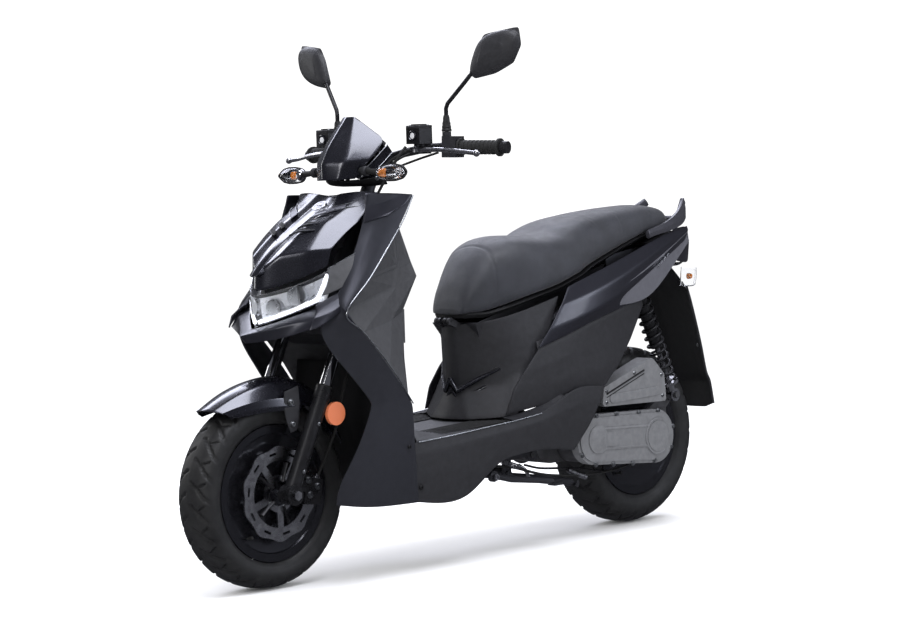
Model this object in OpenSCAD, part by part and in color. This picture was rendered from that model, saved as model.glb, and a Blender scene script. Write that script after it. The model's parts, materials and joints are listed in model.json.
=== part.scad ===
// Moped scooter: step-through frame, front disc brake, swinging engine unit.
// +Z is up, the scooter faces -Y and the rider's left side is +X. Millimetres.

/* [Wheels] */
// Distance between the two axles
wheelbase = 1310; // [1250:5:1360]
// Radius of the front tyre, 110/70-12
front_tyre_r = 229; // [224:1:233]
// Radius of the rear tyre, 130/70-12
rear_tyre_r = 241; // [236:1:245]
// Width of the front tyre
front_tyre_w = 110; // [104:2:114]
// Width of the rear tyre
rear_tyre_w = 126; // [116:2:130]
// Width of the flat band on each tyre's crown, its contact patch
crown_w = 46; // [30:2:56]
// Radius of both rims at the flange
rim_r = 163; // [158:1:166]

/* [Steering] */
// Rake of the steering axis from upright, in degrees
rake = 26; // [24:0.5:28]
// Ground trail of the front wheel
trail = 80; // [70:1:90]
// Distance of each fork leg from the middle
fork_x = 102; // [98:1:108]
// Radius of the chrome stanchions
stanchion_r = 15.5; // [13:0.5:17]
// Distance from the middle to a grip's outer end
bar_x = 340; // [325:1:350]
// Sweep of the grips towards the rider, in degrees
bar_sweep = 14; // [10:1:18]
// Radius of the brake disc
disc_r = 114; // [105:1:116]

/* [Body] */
// Thickness of the moulded panels
panel_t = 4; // [3:0.5:6]
// Distance from the middle to the drive cover's face
drive_x = 182; // [178:1:186]

/* [Hidden] */
$fn = 48;
front_axle_y = -630;
rear_axle_y = front_axle_y + wheelbase;
// The bounding box is centred on the origin: its ends are the front tyre and the rear mudguard.
mudguard_y = 998;
shift_y = -(front_axle_y - front_tyre_r + mudguard_y) / 2;
steer_y = front_axle_y - trail;
// The front axle in the fork's own frame, whose Z runs up the steering axis.
axle_y = trail * cos(rake) - front_tyre_r * sin(rake);
axle_z = trail * sin(rake) + front_tyre_r * cos(rake);
fit = 0.05;
gap = 0.4;
seal_z = 512;
yoke_z = 640;
pivot = [0, 215, 236];
lock_r = 14;
// Bolt holes in the rear carrier plate.
rack_x = 32;
rack_y0 = 862;
rack_y1 = 884;
rack_r = 3.3;
shock_top = [103, 634, 655];
shock_foot = [103, 776, 345];
seat_hinge = [0, -2, 596];

// ---------- shared functions and shapes ----------

function mirror_x(p) = [-p[0], p[1], p[2]];
// A row that starts on the middle plane, made whole from the right edge to the left edge.
function full(row) = concat([for (i = [len(row) - 1:-1:1]) mirror_x(row[i])], row);
function whole(rows) = [for (row = rows) full(row)];
function flat(lists) = [for (list = lists) for (item = list) item];
function quad(a, b, c, d) = [[a, b, c], [a, c, d]];
function flip(faces) = [for (f = faces) [f[2], f[1], f[0]]];
function total(v, i = 0) = i < len(v) ? v[i] + total(v, i + 1) : 0;
function signed_volume(points, faces) =
    total([for (f = faces) points[f[0]] * cross(points[f[1]], points[f[2]])]);

// Closed triangle mesh, turned the right way out.
module mesh(points, faces) {
    outward = signed_volume(points, faces) > 0 ? flip(faces) : faces;
    polyhedron(points, outward, convexity = 6);
}

// Moulded skin: rows of points on the outer face, and the same rows moved by back
// and narrowed towards the middle plane.
module skin(rows, back, narrow = 1) {
    m = len(rows);
    n = len(rows[0]);
    outer = flat(rows);
    inner = [for (p = outer) [narrow * p[0], p[1], p[2]] + back];
    k = m * n;
    faces = concat(
        flat([for (i = [0:m - 2]) for (j = [0:n - 2])
            quad(i * n + j, i * n + j + 1, (i + 1) * n + j + 1, (i + 1) * n + j)]),
        flat([for (i = [0:m - 2]) for (j = [0:n - 2])
            quad(k + (i + 1) * n + j, k + (i + 1) * n + j + 1, k + i * n + j + 1, k + i * n + j)]),
        flat([for (j = [0:n - 2]) quad(j + 1, j, k + j, k + j + 1)]),
        flat([for (j = [0:n - 2])
            quad((m - 1) * n + j, (m - 1) * n + j + 1, k + (m - 1) * n + j + 1, k + (m - 1) * n + j)]),
        flat([for (i = [0:m - 2]) quad(i * n, (i + 1) * n, k + (i + 1) * n, k + i * n)]),
        flat([for (i = [0:m - 2])
            quad((i + 2) * n - 1, (i + 1) * n - 1, k + (i + 1) * n - 1, k + (i + 2) * n - 1)])
    );
    mesh(concat(outer, inner), faces);
}

// Solid through closed rings of points, with flat ends.
module loft(rings) {
    m = len(rings);
    n = len(rings[0]);
    sides = flat([for (i = [0:m - 2]) for (j = [0:n - 1])
        quad(i * n + j, i * n + (j + 1) % n, (i + 1) * n + (j + 1) % n, (i + 1) * n + j)]);
    first = [for (j = [1:n - 2]) [0, j + 1, j]];
    last = [for (j = [1:n - 2]) [(m - 1) * n, (m - 1) * n + j, (m - 1) * n + j + 1]];
    mesh(flat(rings), concat(sides, first, last));
}

function unit(v) = v / norm(v);
function tangent(path, i) =
    unit(path[min(i + 1, len(path) - 1)] - path[max(i - 1, 0)]);
function across(t) = unit(abs(t[0]) < 0.8 ? cross(t, [1, 0, 0]) : cross(t, [0, 1, 0]));
// Tube swept along a path, oval when across_r is given.
module sweep(path, r, sides = 12, across_r = 0) {
    side_r = across_r > 0 ? across_r : r;
    rings = [for (i = [0:len(path) - 1])
        let (t = tangent(path, i), u = across(t), v = cross(t, u))
        [for (s = [0:sides - 1])
            path[i] + r * cos(360 * s / sides) * u + side_r * sin(360 * s / sides) * v]];
    loft(rings);
}

// True cylinder, or cone, from one point to another.
module rod(a, b, r, end_r = 0) {
    d = b - a;
    translate(a)
        rotate([0, acos(d[2] / norm(d)), atan2(d[1], d[0])])
            cylinder(h = norm(d), r1 = r, r2 = end_r > 0 ? end_r : r);
}

module pair() {
    children();
    mirror([1, 0, 0]) children();
}

module on_fork() {
    translate([0, steer_y, 0]) rotate([-rake, 0, 0]) children();
}

module cyl_x(r, x0, x1) {
    translate([x0, 0, 0]) rotate([0, 90, 0]) cylinder(h = x1 - x0, r = r);
}

module ring_x(r1, r0, x0, x1) {
    difference() {
        cyl_x(r1, x0, x1);
        cyl_x(r0, x0 - 1, x1 + 1);
    }
}

module box(a, b) {
    translate(a) cube(b - a);
}

// ---------- frame ----------

module frame_tubes() {
    spine = [[0, -364, 660], [0, -338, 646], [0, -316, 600], [0, -312, 480], [0, -304, 360],
             [0, -270, 276], [0, -196, 245]];
    rail = [[70, -200, 245], [74, -60, 245], [78, 60, 250], [82, 130, 300], [86, 190, 420],
            [96, 260, 560], [98, 420, 645], [92, 620, 700], [80, 800, 742]];
    color("#26262a") {
        sweep(spine, 24);
        pair() sweep(rail, 14);
        sweep([[-86, 190, 420], [86, 190, 420]], 11);
        sweep([[-83, 765, 736], [83, 765, 736]], 11);
        sweep([[-78, -180, 245], [78, -180, 245]], 15);
        head_tube();
        engine_mount();
        rod(shock_top - [34, 0, 0], shock_top + [14, 0, 0], 8);
        rod(shock_top - [26, 0, 0], [88, 634, 696], 7);
        rod(stand_pivot - [90, 0, 0], stand_pivot + [90, 0, 0], 8);
        pair() box([76, 116, 196], [84, 144, 300]);
        rod(side_pivot - [38, 0, 0], side_pivot + [10, 0, 0], 6);
        box([110, -20, 200], [116, 20, 240]);
        box([76, -10, 236], [116, 10, 244]);
    }
}

module head_tube() {
    on_fork() difference() {
        translate([0, 0, 706]) cylinder(h = 170, r = 27);
        translate([0, 0, 700]) cylinder(h = 190, r = 17 + fit);
    }
}

module engine_mount() {
    translate(pivot) {
        ring_x(16, 8 + fit, -92, -80);
        ring_x(16, 8 + fit, 80, 92);
    }
    pair() box([80, pivot[1] - 150, 232], [92, pivot[1] - 12, 248]);
}

// ---------- front body ----------

cowl_rows = whole([
    [[0, -640, 704], [48, -596, 718], [92, -556, 738], [129, -512, 764]],
    [[0, -634, 742], [52, -590, 780], [100, -546, 796], [131, -500, 802]],
    [[0, -584, 792], [50, -562, 814], [98, -512, 834], [132, -456, 838]],
    [[0, -502, 842], [46, -503, 858], [92, -472, 868], [136, -412, 866]],
    [[0, -410, 896], [48, -418, 902], [94, -404, 906], [138, -376, 904]],
    [[0, -372, 925], [40, -380, 932], [86, -372, 936], [138, -352, 934]]
]);

module front_cowl() {
    color("#101014") {
        skin(cowl_rows, [0, 3, -3]);
        // Raised centre ridge that carries the round emblem.
        skin(whole([
            [[0, -642, 744], [14, -631, 748]],
            [[0, -592, 795], [15, -581, 798]],
            [[0, -509, 846], [17, -506, 849]],
            [[0, -418, 899], [18, -416, 901]]
        ]), [0, 9, -4]);
    }
}

lens_rows = whole([
    [[0, -634, 622], [50, -600, 640], [104, -556, 664], [124, -540, 676]],
    [[0, -642, 658], [50, -604, 672], [104, -554, 696], [130, -526, 716]],
    [[0, -646, 696], [50, -604, 706], [104, -552, 730], [134, -514, 752]]
]);

module headlight_lens() {
    color([0.85, 0.88, 0.92, 0.5]) skin(lens_rows, [0, 3, 0]);
}

// A point of the lamp's case: set back behind the lens and a little narrower.
function housing_point(p, back) = [0.94 * p[0], p[1] + back, p[2]];

module headlight_housing() {
    depth = 44;
    color("#c8c8cc") {
        skin([for (row = lens_rows) [for (p = row) housing_point(p, depth)]], [0, 5, 0]);
        pair() for (row = [0, 2])
            skin([[for (j = [3:6]) housing_point(lens_rows[row][j], 5)],
                  [for (j = [3:6]) housing_point(lens_rows[row][j], depth + 2)]],
                [0, 0, row == 0 ? 3 : -6]);
        pair() translate([50, -556, 668]) rotate([90, 0, 0]) cylinder(h = 16, r1 = 12, r2 = 20);
    }
}

module beak() {
    color("#2b2b30") {
        skin(whole([
            [[0, -664, 586], [46, -636, 590], [96, -604, 602], [142, -588, 618]],
            [[0, -684, 604], [50, -640, 616], [104, -596, 634], [150, -560, 646]],
            [[0, -644, 618], [50, -606, 634], [106, -560, 658], [150, -480, 688]]
        ]), [0, 8, -3]);
        pair() skin([
            [[134, -540, 682], [152, -480, 692], [160, -452, 700]],
            [[136, -512, 752], [150, -470, 776], [156, -440, 800]]
        ], [-4, 3, 0]);
    }
}

shield_rows = [
    [[148, -388, 930], [156, -346, 928], [163, -302, 925], [168, -262, 922]],
    [[145, -412, 872], [158, -378, 872], [170, -334, 870], [175, -302, 868]],
    [[140, -498, 802], [160, -440, 812], [176, -390, 816], [180, -352, 814]],
    [[140, -514, 752], [168, -478, 744], [186, -450, 736], [190, -436, 730]],
    [[144, -560, 690], [176, -535, 672], [192, -526, 660], [196, -520, 651]],
    [[146, -588, 617], [182, -520, 610], [196, -488, 606], [200, -468, 602]],
    [[166, -500, 520], [190, -440, 515], [200, -402, 512], [203, -384, 510]],
    [[180, -428, 430], [194, -392, 428], [200, -350, 425], [203, -318, 422]],
    [[176, -470, 330], [190, -430, 330], [194, -384, 330], [200, -312, 330]],
    [[150, -522, 240], [178, -478, 240], [190, -418, 236], [192, -300, 232]],
    [[140, -520, 194], [172, -484, 188], [184, -420, 180], [186, -292, 178]]
];

// Wall behind the front wheel, between the two shields.
wall_rows = whole([
    [[0, -352, 522], [90, -354, 522], [156, -366, 522]],
    [[0, -350, 480], [90, -352, 480], [164, -368, 480]],
    [[0, -346, 340], [90, -346, 340], [180, -352, 340]],
    [[0, -338, 225], [90, -338, 225], [178, -344, 225]]
]);

module leg_shields() {
    color("#2a2a2f") {
        pair() skin(shield_rows, [-panel_t, 1, 0]);
        skin(wall_rows, [0, 4, 0]);
    }
}

inner_rows = whole([
    [[0, -206, 900], [60, -214, 905], [120, -246, 912], [160, -262, 912]],
    [[0, -190, 840], [60, -206, 840], [110, -270, 828], [170, -352, 806]],
    [[0, -152, 760], [56, -168, 760], [96, -250, 748], [178, -432, 728]],
    [[0, -128, 722], [58, -150, 720], [100, -260, 700], [184, -510, 652]],
    [[0, -186, 640], [70, -214, 636], [120, -300, 620], [188, -458, 602]],
    [[0, -198, 520], [84, -226, 520], [136, -280, 516], [190, -376, 510]],
    [[0, -204, 430], [90, -232, 428], [140, -270, 426], [190, -318, 424]],
    [[0, -212, 376], [96, -240, 376], [144, -268, 376], [186, -296, 376]]
]);

// Front end of the glove pocket.
pocket_y = -284;

module inner_shield() {
    color("#3a3a3e") difference() {
        union() {
            skin(inner_rows, [0, -5, 0]);
            box([-58, pocket_y, 556], [58, -196, 640]);
            on_lock() translate([0, 0, -10]) cylinder(h = 66, r = 20);
        }
        // Glove pocket, open towards the rider.
        box([-58 + panel_t, pocket_y + panel_t, 556 + panel_t], [58 - panel_t, -150, 640 - panel_t]);
        on_lock() translate([0, 0, 12]) cylinder(h = 90, r = lock_r + gap);
    }
}

module on_lock() {
    translate([-50, -246, 836]) rotate([-80, 0, 0]) children();
}

module ignition_lock() {
    color("silver") on_lock() difference() {
        translate([0, 0, 12.4]) cylinder(h = 48, r = lock_r);
        translate([-1.2, -6, 44]) cube([2.4, 12, 20]);
    }
}

// ---------- floor and side panels ----------

module floorboard() {
    color("#4a4a50") {
        skin(whole([
            [[0, -218, 352], [90, -236, 352], [140, -262, 348], [182, -288, 326]],
            [[0, -160, 330], [90, -160, 330], [140, -180, 329], [182, -200, 328]],
            [[0, -60, 336], [90, -60, 336], [140, -60, 336], [182, -60, 335]],
            [[0, 40, 341], [90, 40, 341], [140, 60, 342], [182, 60, 341]],
            [[0, 120, 345], [90, 120, 345], [140, 128, 346], [182, 160, 350]]
        ]), [0, 0, -5]);
        // Anti-slip ribs along each foot space.
        pair() for (i = [0:6])
            translate([74 + 13 * i, -150, 330.5]) rotate([2.6, 0, 0]) cube([5, 150, 4]);
    }
}

skirt_rows = [
    [[188, -289, 324], [189, -180, 329], [190, -76, 336], [190, 60, 345], [189, 150, 354],
     [186, 240, 386], [180, 306, 414], [176, 412, 402]],
    [[193, -289, 296], [194, -180, 304], [195, -76, 314], [195, 60, 326], [193, 150, 334],
     [190, 240, 352], [184, 306, 366], [180, 396, 372]],
    [[193, -289, 240], [194, -200, 238], [194, -100, 244], [193, 20, 276], [192, 130, 290],
     [189, 200, 300], [184, 270, 300], [180, 350, 310]],
    [[186, -289, 178], [187, -203, 162], [188, -110, 170], [190, -18, 250], [190, 60, 258],
     [188, 140, 262], [184, 200, 258], [178, 284, 246]]
];

module floor_skirts() {
    color("#2c2c31") pair() {
        skin(skirt_rows, [-panel_t, 0, 0]);
        // Passenger's step: a ledge from the skirt's top edge in to the lower panel.
        skin([
            [[184, 196, 364], [182, 240, 383], [176, 306, 410], [172, 404, 399]],
            [[168, 196, 366], [172, 240, 386], [171, 306, 404], [169, 404, 396]]
        ], [0, 0, -4]);
    }
}

cover_rows = whole([
    [[0, -30, 582], [50, -10, 584], [92, 34, 590], [114, 110, 600], [124, 200, 622]],
    [[0, -26, 548], [52, -4, 548], [100, 42, 548], [124, 112, 548], [136, 178, 548]],
    [[0, -2, 470], [54, 22, 470], [104, 64, 470], [128, 124, 470], [142, 152, 480]],
    [[0, 14, 420], [56, 34, 424], [106, 74, 430], [130, 110, 430], [144, 118, 440]],
    [[0, -22, 346], [70, 0, 346], [114, 36, 348], [134, 56, 350], [144, 62, 352]]
]);

module centre_cover() {
    color("#2b2b2f") skin(cover_rows, [0, 3, 0], 0.97);
}

side_rows = [
    [[140, 320, 668], [146, 400, 694], [143, 500, 722], [134, 600, 750], [120, 700, 776],
     [102, 800, 797], [84, 880, 806]],
    [[160, 270, 622], [170, 370, 644], [170, 470, 674], [160, 570, 706], [142, 670, 740],
     [118, 780, 776], [90, 878, 796]],
    [[164, 222, 566], [174, 330, 586], [174, 430, 616], [166, 530, 650], [150, 640, 696],
     [124, 768, 750], [92, 872, 784]],
    [[160, 180, 518], [166, 280, 544], [166, 380, 574], [160, 470, 592], [148, 560, 614],
     [142, 640, 612], [114, 788, 708]]
];

module side_panels() {
    color("#242428") pair() skin(side_rows, [-panel_t, 0, 0]);
}

lower_rows = [
    [[158, 180, 512], [164, 280, 538], [164, 380, 568], [158, 470, 586], [146, 556, 608],
     [136, 622, 600]],
    [[158, 130, 464], [168, 230, 478], [168, 330, 500], [164, 420, 524], [156, 500, 532],
     [148, 556, 518]],
    [[154, 88, 416], [164, 180, 424], [170, 290, 436], [170, 370, 446], [168, 430, 450],
     [160, 490, 452]],
    [[150, 66, 358], [160, 170, 368], [166, 280, 384], [167, 350, 388], [166, 400, 392],
     [164, 428, 402]]
];

module lower_panels() {
    color("#2e2e33") pair() skin(lower_rows, [-panel_t, 0, 0]);
}

// Bucket section at one height: half-width, front and rear, and how far the front drops.
function bucket_ring(x, y0, y1, z0, z1) =
    [[-x, y0, z0], [x, y0, z0], [x, y1, z1], [-x, y1, z1]];

module storage_bucket() {
    color("#1c1c1e") difference() {
        union() {
            loft([bucket_ring(62, 70, 300, 456, 456), bucket_ring(70, 54, 420, 556, 598),
                  bucket_ring(78, 34, 540, 588, 718)]);
            pair() hull() {
                translate(seat_hinge + [18 + gap, 0, 0]) cyl_x(9, 0, 8);
                box([18 + gap, 30, 572], [26 + gap, 42, 584]);
            }
        }
        loft([bucket_ring(58, 74, 296, 460, 460), bucket_ring(66, 58, 416, 556, 598),
              bucket_ring(74, 38, 536, 589, 719)]);
        translate(seat_hinge) cyl_x(4 + fit, -40, 40);
    }
    color("silver") translate(seat_hinge) cyl_x(4, -25, 25);
}

module fuel_tank() {
    color("#202022") {
        loft([bucket_ring(66, 560, 740, 640, 668), bucket_ring(68, 556, 748, 700, 728),
              bucket_ring(60, 562, 740, 736, 762)]);
        translate([0, 616, 740]) cylinder(h = 9, r = 24);
    }
}

module grab_rail() {
    blade = [[118, 672, 790], [112, 720, 800], [102, 790, 814], [88, 840, 836], [66, 886, 874]];
    color("#2a2a2e") {
        pair() sweep(blade, 12, 12, 7);
        sweep([[-86, 842, 828], [86, 842, 828]], 8, 10);
        // Legs down to the frame rails.
        pair() sweep([[80, 800, 758], [80, 832, 792], [78, 844, 824]], 6, 10);
        difference() {
            box([-50, 842, 818], [50, 896, 826]);
            for (x = [-rack_x, rack_x], y = [rack_y0, rack_y1])
                translate([x, y, 810]) cylinder(h = 20, r = rack_r);
        }
    }
}

module tail_light() {
    color("#a01818") {
        skin(whole([
            [[0, 930, 706], [40, 922, 708], [72, 884, 716]],
            [[0, 940, 752], [42, 930, 754], [76, 886, 760]],
            [[0, 926, 790], [40, 916, 790], [74, 882, 792]]
        ]), [0, -44, 0]);
        pair() skin([
            [[88, 856, 690], [98, 880, 688], [90, 910, 684]],
            [[87, 852, 640], [95, 884, 636], [88, 906, 640]]
        ], [-10, 0, 0]);
    }
}

module rear_mudguard() {
    color("#19191b") {
        skin(whole([
            [[0, 840, 700], [40, 836, 700], [62, 826, 700]],
            [[0, 900, 640], [42, 896, 640], [74, 884, 640]],
            [[0, 916, 586], [44, 910, 586], [82, 896, 584]],
            [[0, 950, 480], [44, 944, 480], [80, 932, 478]],
            [[0, 974, 396], [44, 968, 396], [76, 958, 396]],
            [[0, 998, 366], [44, 990, 366], [78, 972, 364]],
            [[0, 998, 288], [44, 994, 290], [78, 986, 302]]
        ]), [0, -5, -3]);
        pair() sweep([[52, 800, 722], [54, 826, 690]], 7, 8);
    }
}

// Brake hose from the left lever's cylinder down to the caliper.
hose_route = [[150, -262, 1040], [138, -282, 1010], [112, -300, 960], [84, -318, 900],
    [66, -344, 830], [62, -372, 760], [66, -380, 690], [76, -380, 620], [90, -388, 560],
    [94, -428, 500], [96, -452, 440], [94, -468, 380], [86, -488, 326], [70, -512, 262]];
// Cable from under the floor back to the rear brake.
cable_route = [[100, 40, 226], [112, 120, 214], [122, 220, 186], [124, 320, 172],
    [118, 420, 164], [102, 520, 164], [84, 600, 168], [72, 640, 178]];

module brake_lines() {
    color("#151515") {
        sweep(hose_route, 4, 8);
        sweep(cable_route, 3.5, 8);
    }
}

// ---------- steering ----------

module steering_stem() {
    color("#202022") on_fork() {
        cylinder_z(17, 650, 1100);
        difference() {
            translate([-124, -50, yoke_z]) cube([248, 74, 22]);
            for (side = [-1, 1])
                translate([side * fork_x, axle_y, 600]) cylinder(h = 100, r = stanchion_r + fit);
        }
    }
}

module cylinder_z(r, z0, z1) {
    translate([0, 0, z0]) cylinder(h = z1 - z0, r = r);
}

module fork_stanchions() {
    color("#d8d8dc") on_fork() pair() translate([fork_x, axle_y, 0])
        cylinder_z(stanchion_r, 400, 666);
}

// Direction of the left grip, and the bar's centre line where the grip starts and ends.
grip_dir = unit([cos(bar_sweep), sin(bar_sweep), -0.035]);
grip_in = [225, -153, 1035];
grip_len = (bar_x - 225) / grip_dir[0];
grip_out = grip_in + grip_len * grip_dir;

module handlebar() {
    half = [[0, -226, 1012], [44, -226, 1014], [92, -210, 1026], [140, -180, 1036],
            [186, -162, 1037], grip_in];
    color("#1b1b1d") {
        sweep(concat([for (i = [5:-1:1]) mirror_x(half[i])], half), 11, 16);
        pair() {
            rod(grip_in, grip_out, 11);
            rod(grip_out + 1.5 * grip_dir, grip_out + 18 * grip_dir, 15);
            rod(grip_out - 4 * grip_dir, grip_out + 4 * grip_dir, 9);
        }
        on_fork() difference() {
            translate([0, -6, 1080]) cylinder(h = 40, r = 25);
            cylinder_z(17 + fit, 1040, 1101);
        }
    }
}

// Anything placed along the left grip: Z runs outwards along the bar.
module on_grip(start = 0) {
    translate(grip_in + start * grip_dir)
        rotate([0, acos(grip_dir[2]), atan2(grip_dir[1], grip_dir[0])]) children();
}

module grip_shape(start, length) {
    on_grip(start) difference() {
        union() {
            cylinder(h = length, r = 16.5);
            for (i = [0:7]) translate([0, 0, 14 + 11 * i]) cylinder(h = 5, r = 17.6);
            cylinder(h = 6, r = 22);
            translate([0, 0, length - 6]) cylinder(h = 6, r = 22);
        }
        translate([0, 0, -1]) cylinder(h = length + 2, r = 11 + fit);
    }
}

module grip_left() {
    color("#161616") grip_shape(2, grip_len - 4);
}

module throttle_grip() {
    color("#161616") mirror([1, 0, 0]) grip_shape(2, grip_len - 4);
}

mirror_base = [196, -166, 1074];

module switch_block() {
    difference() {
        union() {
            on_grip(-38) translate([-27, -21, 0]) cube([52, 44, 38]);
            translate(mirror_base - [0, 0, 26]) cylinder(h = 26, r = 11);
        }
        on_grip(-40) cylinder(h = 50, r = 11.6);
        translate(mirror_base - [0, 0, 14]) cylinder(h = 20, r = 5 + fit);
        // Button wells in the face towards the rider.
        for (z = [-16, 2]) on_button(z) translate([0, 0, -8]) cylinder(h = 12, r = 6 + gap);
    }
}

// A button well's mouth: Z points at the rider, centred on the switch block's rear face.
module on_button(z) {
    on_grip(-19) translate([-z, 23, 0]) rotate([-90, 0, 0]) children();
}

module button(z, r = 6) {
    on_button(z) {
        translate([0, 0, -4]) cylinder(h = 8, r = r);
        translate([0, 0, 3.5]) cylinder(h = 1.5, r = r - 1);
    }
}

module switchgear() {
    color("#1a1a1c") {
        switch_block();
        mirror([1, 0, 0]) switch_block();
    }
}

module horn_button() { color("#303034") button(-16); }
module indicator_switch() { color("#3a3a40") button(2); }
module starter_button() { color("#303034") mirror([1, 0, 0]) button(-16); }
module beam_switch() { color("#3a3a40") mirror([1, 0, 0]) button(2); }

lever_pivot = [156, -236, 1030];

module lever_perch() {
    difference() {
        union() {
            translate([140, -250, 1046]) cube([46, 44, 40]);
            translate([163, -228, 1086]) cylinder(h = 8, r = 19);
            translate([145, -216, 1022]) cube([22, 24, 26]);
            for (z = [4 + gap, -8 - gap])
                translate(lever_pivot + [-9, -10, z]) cube([20, 32, 4]);
            for (z = [4 + gap, -8 - gap])
                translate(lever_pivot + [0, 0, z]) cylinder(h = 4, r = 11);
        }
        translate([156, -178, 1036]) rotate([0, 90, 0]) translate([0, 0, -30])
            cylinder(h = 60, r = 16);
    }
    translate(lever_pivot - [0, 0, 9]) cylinder(h = 18, r = 3);
}

module master_cylinders() {
    color("#19191b") pair() lever_perch();
}

module brake_lever() {
    path = [lever_pivot + [14, 2, 0], [184, -233, 1032], [226, -224, 1030], [268, -214, 1026],
            [306, -206, 1021], [334, -208, 1018]];
    difference() {
        union() {
            sweep(path, 5.5, 12);
            translate(lever_pivot - [0, 0, 4]) cylinder(h = 8, r = 11);
            translate(lever_pivot + [4, -3, -4]) cube([16, 10, 8]);
            translate([338, -210, 1018]) sphere(r = 8.5);
        }
        translate(lever_pivot - [0, 0, 20]) cylinder(h = 40, r = 3 + fit);
    }
}

module brake_lever_left() { color("silver") brake_lever(); }
module brake_lever_right() { color("silver") mirror([1, 0, 0]) brake_lever(); }

mirror_tip = [255, -143, 1205];
head_turn = 11.6;

module mirror_stem() {
    translate(mirror_base - [0, 0, 12]) cylinder(h = 14, r = 5);
    sweep([mirror_base + [0, 0, 0.5], mirror_base + [0, 0, 12], mirror_base + [0, 0, 56],
           mirror_base + [4, 2, 68], mirror_tip - [8, 3, 10], mirror_tip + [2, 1, 2]], 5.5, 12);
    translate(mirror_base + [0, 0, 0.5]) cylinder(h = 38, r1 = 12, r2 = 7);
    translate(mirror_tip + [10, 4, 10]) sphere(r = 8);
    rod(mirror_tip - [2, 0.6, 2], mirror_tip + [10, 4, 10], 5);
}

// Mirror head outline: across the glass from the stem, and up.
head_outline = [[-5, 7], [12, -6], [72, 4], [124, 27], [147, 69], [141, 114], [41, 101], [18, 68]];
function head_ring(k, y) =
    [for (p = head_outline) [68 + k * (p[0] - 68), y, 54 + k * (p[1] - 54)]];

module mirror_head() {
    difference() {
        translate(mirror_tip) rotate([0, 0, head_turn])
            loft([head_ring(0.96, 14), head_ring(1, 11), head_ring(1, 4), head_ring(0.84, -10),
                  head_ring(0.5, -16)]);
        translate(mirror_tip + [10, 4, 10]) sphere(r = 8 + gap, $fn = 32);
        rod(mirror_tip - [12, 4, 12], mirror_tip + [10, 4, 10], 14, 7);
    }
}

module mirror_stem_left() { color("#151517") mirror_stem(); }
module mirror_stem_right() { color("#151517") mirror([1, 0, 0]) mirror_stem(); }
module mirror_head_left() { color("#1d1d20") mirror_head(); }
module mirror_head_right() { color("#1d1d20") mirror([1, 0, 0]) mirror_head(); }

module visor() {
    color("#17171b") {
        skin(whole([
            [[0, -402, 964], [38, -386, 964], [60, -350, 966]],
            [[0, -404, 1004], [50, -374, 1006], [84, -322, 1010]],
            [[0, -380, 1046], [46, -350, 1048], [94, -270, 1058]],
            [[0, -346, 1084], [34, -328, 1084], [66, -282, 1078]],
            [[0, -316, 1118], [20, -308, 1118], [28, -300, 1110]]
        ]), [0, 5, -2]);
        pair() sweep([[40, -372, 992], [40, -300, 1004], [40, -240, 1012]], 5, 8);
    }
}

module instrument() {
    color("#18181a") {
        translate([0, -270, 1056]) rotate([-34, 0, 0]) {
            translate([-50, -26, -16]) cube([100, 60, 34]);
            translate([0, 4, 0]) cylinder(h = 26, r = 30);
        }
    }
}

module front_indicators() {
    color("#c9c9cc") pair() {
        rod([72, -344, 984], [142, -344, 980], 7);
        loft([for (s = [[140, 9], [150, 17], [178, 19], [206, 16], [224, 8]])
            [for (a = [0:30:330]) [s[0], -344 + 1.15 * s[1] * cos(a), 979 + s[1] * sin(a)]]]);
    }
}

// ---------- fork and front wheel ----------

module fork_leg() {
    difference() {
        union() {
            cylinder_z(19.5, 226, seal_z - 24);
            cylinder_z(21, seal_z - 30, seal_z);
            translate([0, 0, axle_z]) cyl_x(24, -18, 19);
        }
        cylinder_z(stanchion_r + fit, 300, seal_z + 1);
        translate([0, 0, axle_z]) cyl_x(7.5 + fit, -30, 30);
    }
}

module fork_legs() {
    color("#161618") on_fork() translate([0, axle_y, 0]) {
        translate([fork_x, 0, 0]) fork_leg();
        translate([-fork_x, 0, 0]) mirror([1, 0, 0]) fork_leg();
    }
}

module front_axle() {
    color("silver") translate([0, front_axle_y, front_tyre_r]) {
        cyl_x(7.5, -128, 130);
        translate([122, 0, 0]) rotate([0, 90, 0]) cylinder(h = 9, r = 12, $fn = 6);
        translate([-131, 0, 0]) rotate([0, 90, 0]) cylinder(h = 9, r = 12, $fn = 6);
    }
}

module fork_reflectors() {
    color("#e8722c") on_fork() pair() translate([0, 11, 462]) {
        cyl_x(28, 118, 127);
        difference() {
            translate([100, -24, -9]) cube([18, 32, 18]);
            translate([fork_x, axle_y - 11, -20]) cylinder(h = 40, r = 19.5 + gap);
        }
    }
}

module front_fender() {
    color("#0e0e12") {
        skin(whole([
            [[0, -805, 440], [28, -796, 437], [50, -778, 431]],
            [[0, -732, 478], [38, -728, 470], [64, -720, 446]],
            [[0, -651, 504], [44, -650, 492], [72, -646, 448]],
            [[0, -575, 512], [46, -575, 498], [74, -575, 438]],
            [[0, -500, 488], [46, -502, 474], [74, -506, 424]],
            [[0, -440, 430], [44, -444, 420], [62, -452, 386]],
            [[0, -404, 350], [40, -408, 344], [54, -416, 326]]
        ]), [0, 1, -4]);
        pair() skin([
            [[77, -640, 478], [78, -566, 488]],
            [[78, -628, 400], [80, -566, 410]],
            [[79, -600, 350], [80, -584, 352]]
        ], [-3, 0, 0]);
    }
}

module brake_caliper() {
    color("#1a1a1c") translate([0, front_axle_y, front_tyre_r]) rotate([-8, 0, 0]) difference() {
        union() {
            translate([48, 66, -22]) cube([32, 52, 62]);
            translate([70, 20, 8]) cube([10, 60, 26]);
        }
        cyl_x(disc_r + 5, 58, 68);
    }
}

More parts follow.
